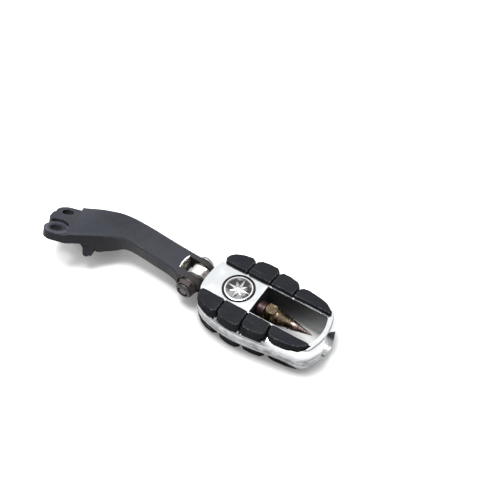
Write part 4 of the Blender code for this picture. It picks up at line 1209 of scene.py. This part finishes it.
@dataclass
class Bracket:
    """The painted bracket with its fold bolt, nut and washers."""

    slot_depth_from_bolt: float = 0.0115
    slot_top_from_bolt: float = 0.0102
    slot_half_width: float = 0.0068
    edge_round: float = 0.00055
    near_hole_from_medallion: Vector = field(default_factory=lambda: Vector((-0.16328, -0.03349, 0.0)))
    near_hole_height: float = 0.0385
    nut_across: float = 0.0159
    nut_bore: float = 0.0048
    collar_bore: float = 0.0049
    thread_start: float = 0.0008
    thread_end: float = 0.0125
    thread_pitch: float = 0.0014
    thread_depth: float = 0.00045
    bolt_radius: float = 0.0047
    head_radius: float = 0.0083
    head_height: float = 0.0044
    socket_across: float = 0.0056
    socket_depth: float = 0.0028
    browned_length: float = 0.012

    def build(self) -> None:
        """Builds and dresses every piece of the bracket."""
        self.build_arm()
        self.build_nut()
        self.build_nut_collar()
        self.build_bolt()
        self.build_rings()

    def build_arm(self) -> None:
        """Rounds the forging's edges and paints it."""
        bolt = middle("clevis_bolt")
        medallion = middle("medallion")
        root = Vector((bolt.x - self.slot_depth_from_bolt, medallion.y, bolt.z + self.slot_top_from_bolt))
        near_hole = medallion + self.near_hole_from_medallion
        near_hole.z = self.near_hole_height
        paint = BracketPaint(
            "dark_bracket_paint", (0.0262, 0.0272, 0.0335), 0.46, specular=0.17, slot_root=root,
            slot_half_width=self.slot_half_width, near_hole=near_hole,
        )
        arm = Meshes.keep(Meshes.merged_copy("bracket_arm"), "painted_bracket", 28.0)
        Meshes.round_edges(arm, self.edge_round, 28.0, 3)
        dress(arm, paint.material(), Body.BRACKET, Slot.PAINT, "bracket_arm")

    def build_nut(self) -> None:
        """Cuts a chamfered lock nut from a hexagon and bores it."""
        low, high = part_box("lock_nut")
        length = high.y - low.y
        end = low_end("lock_nut", 1)
        corner = self.nut_across / math.sqrt(3.0)
        wide = corner * 1.01
        crown = Meshes.spun(
            [
                (0.0, 0.0), (0.0, corner * 0.86), (length * 0.16, wide), (length * 0.86, wide),
                (length, corner * 0.9), (length, 0.0),
            ],
            end, ACROSS,
        )
        prism = Meshes.hexagon_prism(end - ACROSS * 0.0001, ACROSS, self.nut_across, length + 0.0002)
        nut = Meshes.cut_by(prism, crown, "INTERSECT")
        first, last = -0.002, length + 0.002
        bore = [(first, 0.0), (first, self.nut_bore), (last, self.nut_bore), (last, 0.0)]
        nut = Meshes.cut_by(nut, Meshes.spun(bore, end, ACROSS, 48), "DIFFERENCE")
        piece = Meshes.keep(nut, "chamfered_lock_nut", 24.0)
        Meshes.round_edges(piece, 0.00018)
        finish = Finish("browned_nut_steel", (0.056, 0.045, 0.046), 0.42, 0.60)
        dress(piece, finish.material(), Body.BRACKET, Slot.DARK_STEEL, "lock_nut")

    def build_nut_collar(self) -> None:
        """Spins the nut's round collar."""
        low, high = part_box("nut_collar")
        radius = (high.x - low.x) / 2
        depth = high.y - low.y
        profile = [
            (0.0, self.collar_bore), (0.0, radius - 0.0012), (0.00035, radius - 0.0005), (0.0011, radius),
            (depth, radius), (depth, self.collar_bore), (0.0, self.collar_bore),
        ]
        piece = Meshes.keep(Meshes.spun(profile, low_end("nut_collar", 1), ACROSS), "round_nut_collar", 35.0)
        Meshes.round_edges(piece, 0.00012, 35.0)
        nylon = Finish("dark_insert_nylon", (0.024, 0.019, 0.020), 0.48)
        dress(piece, nylon.material(), Body.BRACKET, Slot.NYLON, "nut_collar")

    def build_bolt(self) -> None:
        """Spins the button-head bolt with its thread and cuts its socket."""
        low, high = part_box("clevis_bolt")
        length = high.y - low.y
        end = low_end("clevis_bolt", 1)
        head = length - self.head_height
        shank = self.bolt_radius
        profile = [(0.0, 0.0), (0.0, shank - 0.0012), (0.0005, shank - 0.0007)]
        along = self.thread_start
        while along < self.thread_end:
            profile += [(along, shank - self.thread_depth), (along + self.thread_pitch * 0.5, shank)]
            along += self.thread_pitch
        skirt = head + 0.0004
        radius = self.head_radius
        profile += [(along, shank), (head, shank), (head, radius - 0.0002), (skirt, radius)]
        for i in range(1, 9):
            angle = math.radians(10.0 + 9.0 * i)
            rise = 0.0040 * math.sin(angle) ** 1.15
            profile.append((skirt + rise, radius * (0.42 + 0.58 * math.cos(angle) ** 0.8)))
        profile += [(length, radius * 0.42), (length, 0.0)]
        mouth = end + ACROSS * (length - self.socket_depth)
        socket = Meshes.hexagon_prism(mouth, ACROSS, self.socket_across, 0.006)
        bolt = Meshes.cut_by(Meshes.spun(profile, end, ACROSS), socket, "DIFFERENCE")
        piece = Meshes.keep(bolt, "button_head_bolt", 32.0)
        Meshes.round_edges(piece, 0.00012, 40.0)
        browned_to = low.y + self.browned_length
        finish = BoltSteel("zinc_bolt_steel", (0.55, 0.55, 0.57), 0.27, 1.0, browned_to=browned_to)
        dress(piece, finish.material(), Body.BRACKET, Slot.ZINC, "clevis_bolt")

    def build_rings(self) -> None:
        """Rounds and finishes the two washers."""
        dark = Finish("dark_washer_steel", (0.11, 0.095, 0.092), 0.42, 0.8)
        sprung = Finish("spring_washer_steel", (0.10, 0.088, 0.076), 0.44, 1.0)
        for node, name, finish, slot in (
            ("clevis_washer", "plain_clevis_washer", dark, Slot.DARK_STEEL),
            ("spring_washer", "dished_spring_washer", sprung, Slot.SPRING),
        ):
            piece = Meshes.keep(Meshes.merged_copy(node), name, 40.0)
            Meshes.round_edges(piece, 0.0002, 40.0)
            dress(piece, finish.material(), Body.BRACKET, slot, node)


@dataclass
class Peg:
    """The folding peg: its casting, mount, medallion and spike."""

    edge_round: float = 0.0004
    tongue_half_width: float = 0.0065
    patch_length: float = 0.0078
    ring_width: float = 0.0018
    ring_drop: float = 0.0009
    rim_width: float = 0.0013
    rim_rise: float = 0.0003
    field_drop: float = 0.0005
    star_points: int = 8
    star_share: float = 0.95
    star_arms: tuple[float, ...] = (1.0, 0.38, 0.74, 0.38)
    star_rise: float = 0.0009
    star_edge_drop: float = 0.00022
    star_root_drop: float = 0.0012
    spike_hex_across: float = 0.0148
    spike_hex_length: float = 0.0094
    spike_shank: float = 0.004
    collar_bore: float = 0.0043

    def build(self) -> None:
        """Builds and dresses every piece of the peg apart from its pads."""
        self.build_casting()
        self.build_mount()
        self.build_medallion()
        self.build_spike()
        self.build_collar()

    def build_casting(self) -> None:
        """Rounds the casting's edges and plates it."""
        body = Meshes.keep(Meshes.merged_copy("peg_body"), "plated_peg_casting", 26.0)
        Meshes.round_edges(body, self.edge_round, 26.0)
        medallion = middle("medallion")
        chrome = CastChrome(
            "scuffed_cast_chrome", (0.875, 0.905, 0.922), 0.20, 1.0, middle_height=middle("peg_body").z,
            deck_height=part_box("peg_body")[1].z, centre=Vector((medallion.x, medallion.y, 0.0)),
        )
        dress(body, chrome.material(), Body.PEG, Slot.CHROME, "peg_body")

    def build_mount(self) -> None:
        """Rounds the tongue and its shank."""
        mount = Meshes.keep(Meshes.merged_copy("peg_mount"), "bright_peg_mount", 30.0)
        Meshes.round_edges(mount, self.edge_round)
        steel = TongueSteel(
            "bright_tongue_steel", (0.97, 0.965, 0.95), 0.28, 0.55,
            patch_from=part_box("peg_body")[0].x - self.patch_length,
            near_side=middle("medallion").y - self.tongue_half_width,
        )
        dress(mount, steel.material(), Body.PEG, Slot.BARE, "peg_mount")

    def star(self, centre: Vector, deck: float, radius: float) -> bmesh.types.BMesh:
        """Raises a faceted star with long, short and middling points.

        Args:
            centre: The star's centre on the floor.
            deck: Height of the peg's deck.
            radius: Reach of its longest points.

        Returns:
            The star's mesh.
        """
        star = bmesh.new()
        steps = 2 * self.star_points
        bmesh.ops.create_circle(star, cap_ends=True, cap_tris=True, segments=steps, radius=radius)
        bmesh.ops.translate(star, vec=centre + UP * (deck - self.star_edge_drop), verts=star.verts)
        for vert in star.verts:
            arm = vert.co - centre
            arm.z = 0.0
            if arm.length < 1e-5:
                vert.co.z = deck + self.star_rise
                continue
            turn = round(math.degrees(math.atan2(arm.y, arm.x)) / (180.0 / self.star_points)) % steps
            share = self.star_arms[turn % len(self.star_arms)]
            vert.co.x = centre.x + arm.x * share
            vert.co.y = centre.y + arm.y * share
        bottom = bmesh.ops.extrude_face_region(star, geom=list(star.faces))
        for item in bottom["geom"]:
            if isinstance(item, bmesh.types.BMVert):
                item.co.z = deck - self.star_root_drop
        bmesh.ops.recalc_face_normals(star, faces=star.faces)
        return star

    def build_medallion(self) -> None:
        """Spins the disc and joins the star to its field."""
        low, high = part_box("medallion")
        centre = Vector((middle("medallion").x, middle("medallion").y, 0.0))
        radius = (high.x - low.x) / 2
        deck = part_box("peg_body")[1].z
        rim = radius - self.ring_width
        face = rim - self.rim_width
        groove = deck - self.ring_drop
        top = deck + self.rim_rise
        sunk = deck - self.field_drop
        profile = [
            (low.z, 0.0), (low.z, radius), (groove, radius), (groove, rim + 0.0001), (deck + 0.0002, rim),
            (top, rim - 0.0003), (top, face + 0.0003), (sunk, face), (sunk, 0.0),
        ]
        disc = Meshes.spun(profile, centre, UP, 96)
        medal = Meshes.cut_by(disc, self.star(centre, deck, face * self.star_share), "UNION")
        piece = Meshes.keep(medal, "star_medallion", 12.0)
        silver = MedallionSilver(
            "polished_medallion_silver", (0.92, 0.92, 0.93), 0.22, 1.0, specular=0.2,
            centre=centre, rim=rim, face=face, deck=deck,
        )
        dress(piece, silver.material(), Body.PEG, Slot.BADGE, "medallion")

    def build_spike(self) -> None:
        """Spins the spike with its waist and collars, and gives it a chamfered hexagon."""
        low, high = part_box("spike_bolt")
        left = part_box("spike_collar")[1].x + 0.0003
        length = self.spike_hex_length
        right = left + length
        centre = Vector((0.0, middle("spike_collar").y, middle("spike_collar").z))
        reach = high.x - right
        across = self.spike_hex_across
        shares = [
            (0.02, 0.470), (0.06, 0.450), (0.10, 0.425), (0.15, 0.395), (0.21, 0.358), (0.27, 0.325),
            (0.33, 0.300), (0.336, 0.310), (0.345, 0.322), (0.375, 0.322), (0.385, 0.305), (0.392, 0.275),
            (0.425, 0.270), (0.432, 0.286), (0.450, 0.290), (0.56, 0.236), (0.75, 0.140), (0.95, 0.038),
            (0.985, 0.020),
        ]
        shank = self.spike_shank
        profile = [
            (low.x, 0.0), (low.x, shank - 0.0005), (low.x + 0.0006, shank), (left + 0.0004, shank),
            (left + 0.0004, across * 0.44), (right - 0.0004, across * 0.46),
        ]
        profile += [(right + reach * along, across * radius) for along, radius in shares]
        profile.append((high.x, 0.0))
        spike = Meshes.spun(profile, centre, ALONG)
        corner = across / math.sqrt(3.0)
        wide = corner * 1.01
        crown = Meshes.spun(
            [
                (left, 0.0), (left, corner * 0.88), (left + length * 0.13, wide),
                (left + length * 0.80, wide), (right, corner * 0.80), (right, 0.0),
            ],
            centre, ALONG,
        )
        flat_end = Vector((left - 0.0001, centre.y, centre.z))
        prism = Meshes.hexagon_prism(flat_end, ALONG, across, length + 0.0002)
        spike = Meshes.cut_by(spike, Meshes.cut_by(prism, crown, "INTERSECT"), "UNION")
        piece = Meshes.keep(spike, "worn_spike_bolt", 26.0)
        Meshes.round_edges(piece, 0.00016, 32.0)
        metal = SpikeMetal(
            "spike_bronze_and_steel", (0.105, 0.078, 0.050), 0.32, 1.0, bright_from=right + reach * 0.43
        )
        dress(piece, metal.material(), Body.PEG, Slot.BRONZE, "spike_bolt")

    def build_collar(self) -> None:
        """Spins the browned collar behind the spike's hexagon."""
        low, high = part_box("spike_collar")
        radius = (high.z - low.z) / 2
        length = high.x - low.x
        bore = self.collar_bore
        profile = [
            (0.0, bore), (0.0, radius - 0.0007), (0.0006, radius - 0.0001), (length * 0.50, radius),
            (length * 0.56, radius - 0.0003), (length * 0.62, radius - 0.0003), (length * 0.68, radius),
            (length - 0.0010, radius), (length, radius - 0.0010), (length, bore), (0.0, bore),
        ]
        collar = Meshes.spun(profile, low_end("spike_collar", 0), ALONG)
        piece = Meshes.keep(collar, "browned_spike_collar", 30.0)
        brown = Finish("browned_collar_steel", (0.052, 0.030, 0.030), 0.32, 0.7)
        dress(piece, brown.material(), Body.PEG, Slot.BROWNED, "spike_collar")


@dataclass
class TreadPads:
    """The sixteen rubber pads, softened from the frame's plain blocks."""

    voxel: float = 0.00048
    smoothing: int = 3
    ripple: float = 0.00016
    ripple_scale: float = 150.0
    faces: tuple[str, ...] = ("top", "bottom")
    sides: tuple[str, ...] = ("near", "far")
    count: int = 4

    def build(self) -> None:
        """Builds and dresses all the pads."""
        rubber = TreadRubber("worn_tread_rubber", (0.0050, 0.0056, 0.0080), 0.62, specular=0.15).material()
        for face in self.faces:
            for side in self.sides:
                for number in range(1, self.count + 1):
                    pad = f"{face}_{side}_{number}"
                    self.build_pad(f"tread_pad_{pad}", f"rubber_pad_{pad}", rubber)

    def build_pad(self, node: str, name: str, rubber: bpy.types.Material) -> None:
        """Remeshes one pad, rounds it and gives it an uneven moulded skin.

        Args:
            node: The frame's pad.
            name: Name of the piece.
            rubber: Its material.
        """
        block = Meshes.keep(Meshes.merged_copy(node), "pad_block")
        remesh = block.modifiers.new("remesh", "REMESH")
        remesh.mode = "VOXEL"
        remesh.voxel_size = self.voxel
        bm = Meshes.evaluated(block)
        axes = {"use_axis_x": True, "use_axis_y": True, "use_axis_z": True}
        for _ in range(self.smoothing):
            bmesh.ops.smooth_vert(bm, verts=bm.verts, factor=0.5, **axes)
        bm.normal_update()
        for vert in bm.verts:
            place = vert.co * self.ripple_scale
            lumps = noise.noise(place) + 0.5 * noise.noise(place * 2.7)
            vert.co += vert.normal * (lumps * self.ripple - self.ripple * 0.6)
        dress(Meshes.keep(bm, name, 80.0), rubber, Body.PEG, Slot.RUBBER, node)


@dataclass
class Studio:
    """The pale floor, the soft lights and the camera."""

    floor_half_size: float = 6.0
    floor_colour: Colour = (0.955, 0.955, 0.955)
    # Colour and reach of the painted contact shadow on the floor.
    contact_shadow_colour: Colour = (0.10, 0.096, 0.092)
    contact_shadow_reach: float = 0.024
    paper_glow: float = 0.18
    glow_from: float = 0.36
    glow_to: float = 0.80
    ambient: float = 0.70
    key_power: float = 13.5
    key_size: float = 0.45
    key_place: Vector = field(default_factory=lambda: Vector((-0.11, 0.03, 1.07)))
    fill_power: float = 0.5
    fill_size: float = 0.7
    fill_place: Vector = field(default_factory=lambda: Vector((0.9, -0.5, 0.6)))
    camera_from_medallion: Vector = field(default_factory=lambda: Vector((0.19569, -0.28678, 0.49822)))
    looks_along: Vector = field(default_factory=lambda: Vector((-0.3453, 0.5358, -0.7705)))
    lens: float = 51.84

    def build(self) -> None:
        """Builds the whole studio."""
        self.build_floor()
        self.build_world()
        self.build_lamp("key_light", self.key_place, self.key_power, self.key_size)
        self.build_lamp("fill_light", self.fill_place, self.fill_power, self.fill_size)
        self.build_camera()

    def build_floor(self) -> None:
        """Lays the floor just under the object, with a painted contact shadow in tight corners and a glow
        far away.
        """
        bm = bmesh.new()
        bmesh.ops.create_grid(bm, x_segments=1, y_segments=1, size=self.floor_half_size)
        bmesh.ops.translate(bm, vec=UP * (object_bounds()[0].z - 0.0001), verts=bm.verts)
        floor = Meshes.keep(bm, "pale_floor")
        paper = Skin("pale_floor_paper", 0.0, 0.0)
        # Painted contact shadow: the floor darkens in tight corners near the object.
        clear_of_contact_shadow = paper.spread(paper.openness(self.contact_shadow_reach, samples=16), 0.20, 0.97, 0.08, 1.0)
        paper.set("Base Color", paper.blend(clear_of_contact_shadow, self.contact_shadow_colour, self.floor_colour))
        paper.set("Roughness", 0.9)
        away = paper.length(paper.place())
        far = paper.spread(away, self.glow_from, self.glow_to, self.paper_glow, 1.0)
        glow = paper.add("Emission")
        paper.feed(glow.inputs["Strength"], paper.times(paper.seen_directly(), far))
        both = paper.add("AddShader")
        paper.feed(both.inputs[0], paper.shader.outputs[0])
        paper.feed(both.inputs[1], glow.outputs[0])
        paper.feed(paper.tree.nodes["Material Output"].inputs["Surface"], both.outputs[0])
        floor.data.materials.append(paper.material)
        floor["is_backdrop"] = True

    def build_world(self) -> None:
        """Lights the object evenly, with a brighter surround for gloss and for the camera."""
        world = bpy.data.worlds.new("pale_studio")
        bpy.context.scene.world = world
        world.use_nodes = True
        board = Board(world.node_tree)
        height = board.parts(board.add("TexCoord").outputs["Generated"])[2]
        surround = board.spread(height, 0.10, 0.85, 0.34, 0.93)
        even = board.spread(height, 0.0, 0.9, 0.35 * self.ambient, 1.15 * self.ambient)
        strength = even
        is_gloss = board.add("LightPath").outputs["Is Glossy Ray"]
        for share, other in ((is_gloss, surround), (board.seen_directly(), 1.0)):
            mix = board.add("Mix", data_type="FLOAT")
            for number, source in ((0, share), (2, strength), (3, other)):
                board.feed(mix.inputs[number], source)
            strength = mix.outputs[0]
        background = world.node_tree.nodes["Background"]
        board.feed(background.inputs["Color"], (1.0, 1.0, 1.0))
        board.feed(background.inputs["Strength"], strength)

    def build_lamp(self, name: str, place: Vector, power: float, size: float) -> None:
        """Hangs a soft square lamp that faces the object.

        Args:
            name: The lamp's name.
            place: Where it hangs.
            power: Its power in watts.
            size: Its side.
        """
        light = bpy.data.lights.new(name, "AREA")
        light.energy = power
        light.size = size
        lamp = bpy.data.objects.new(name, light)
        bpy.context.scene.collection.objects.link(lamp)
        lamp.location = place
        lamp.rotation_euler = (-place).to_track_quat("-Z", "Y").to_euler()

    def build_camera(self) -> None:
        """Sets the camera at the photograph's angle."""
        data = bpy.data.cameras.new("photo_camera")
        data.lens = self.lens
        data.sensor_width = 36.0
        data.clip_start = 0.01
        camera = bpy.data.objects.new("photo_camera", data)
        bpy.context.scene.collection.objects.link(camera)
        medallion = middle("medallion")
        camera.location = Vector((medallion.x, medallion.y, 0.0)) + self.camera_from_medallion
        camera.rotation_euler = self.looks_along.to_track_quat("-Z", "Y").to_euler()
        bpy.context.scene.camera = camera
        bpy.context.scene.view_settings.view_transform = "Standard"


def main() -> None:
    """Builds the dressed model and the studio in order."""
    logging.basicConfig(level=logging.INFO, format="%(message)s")
    for obj in list(bpy.data.objects):
        bpy.data.objects.remove(obj, do_unlink=True)
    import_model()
    Bracket().build()
    Peg().build()
    TreadPads().build()
    Studio().build()


if __name__ == "__main__":
    main()
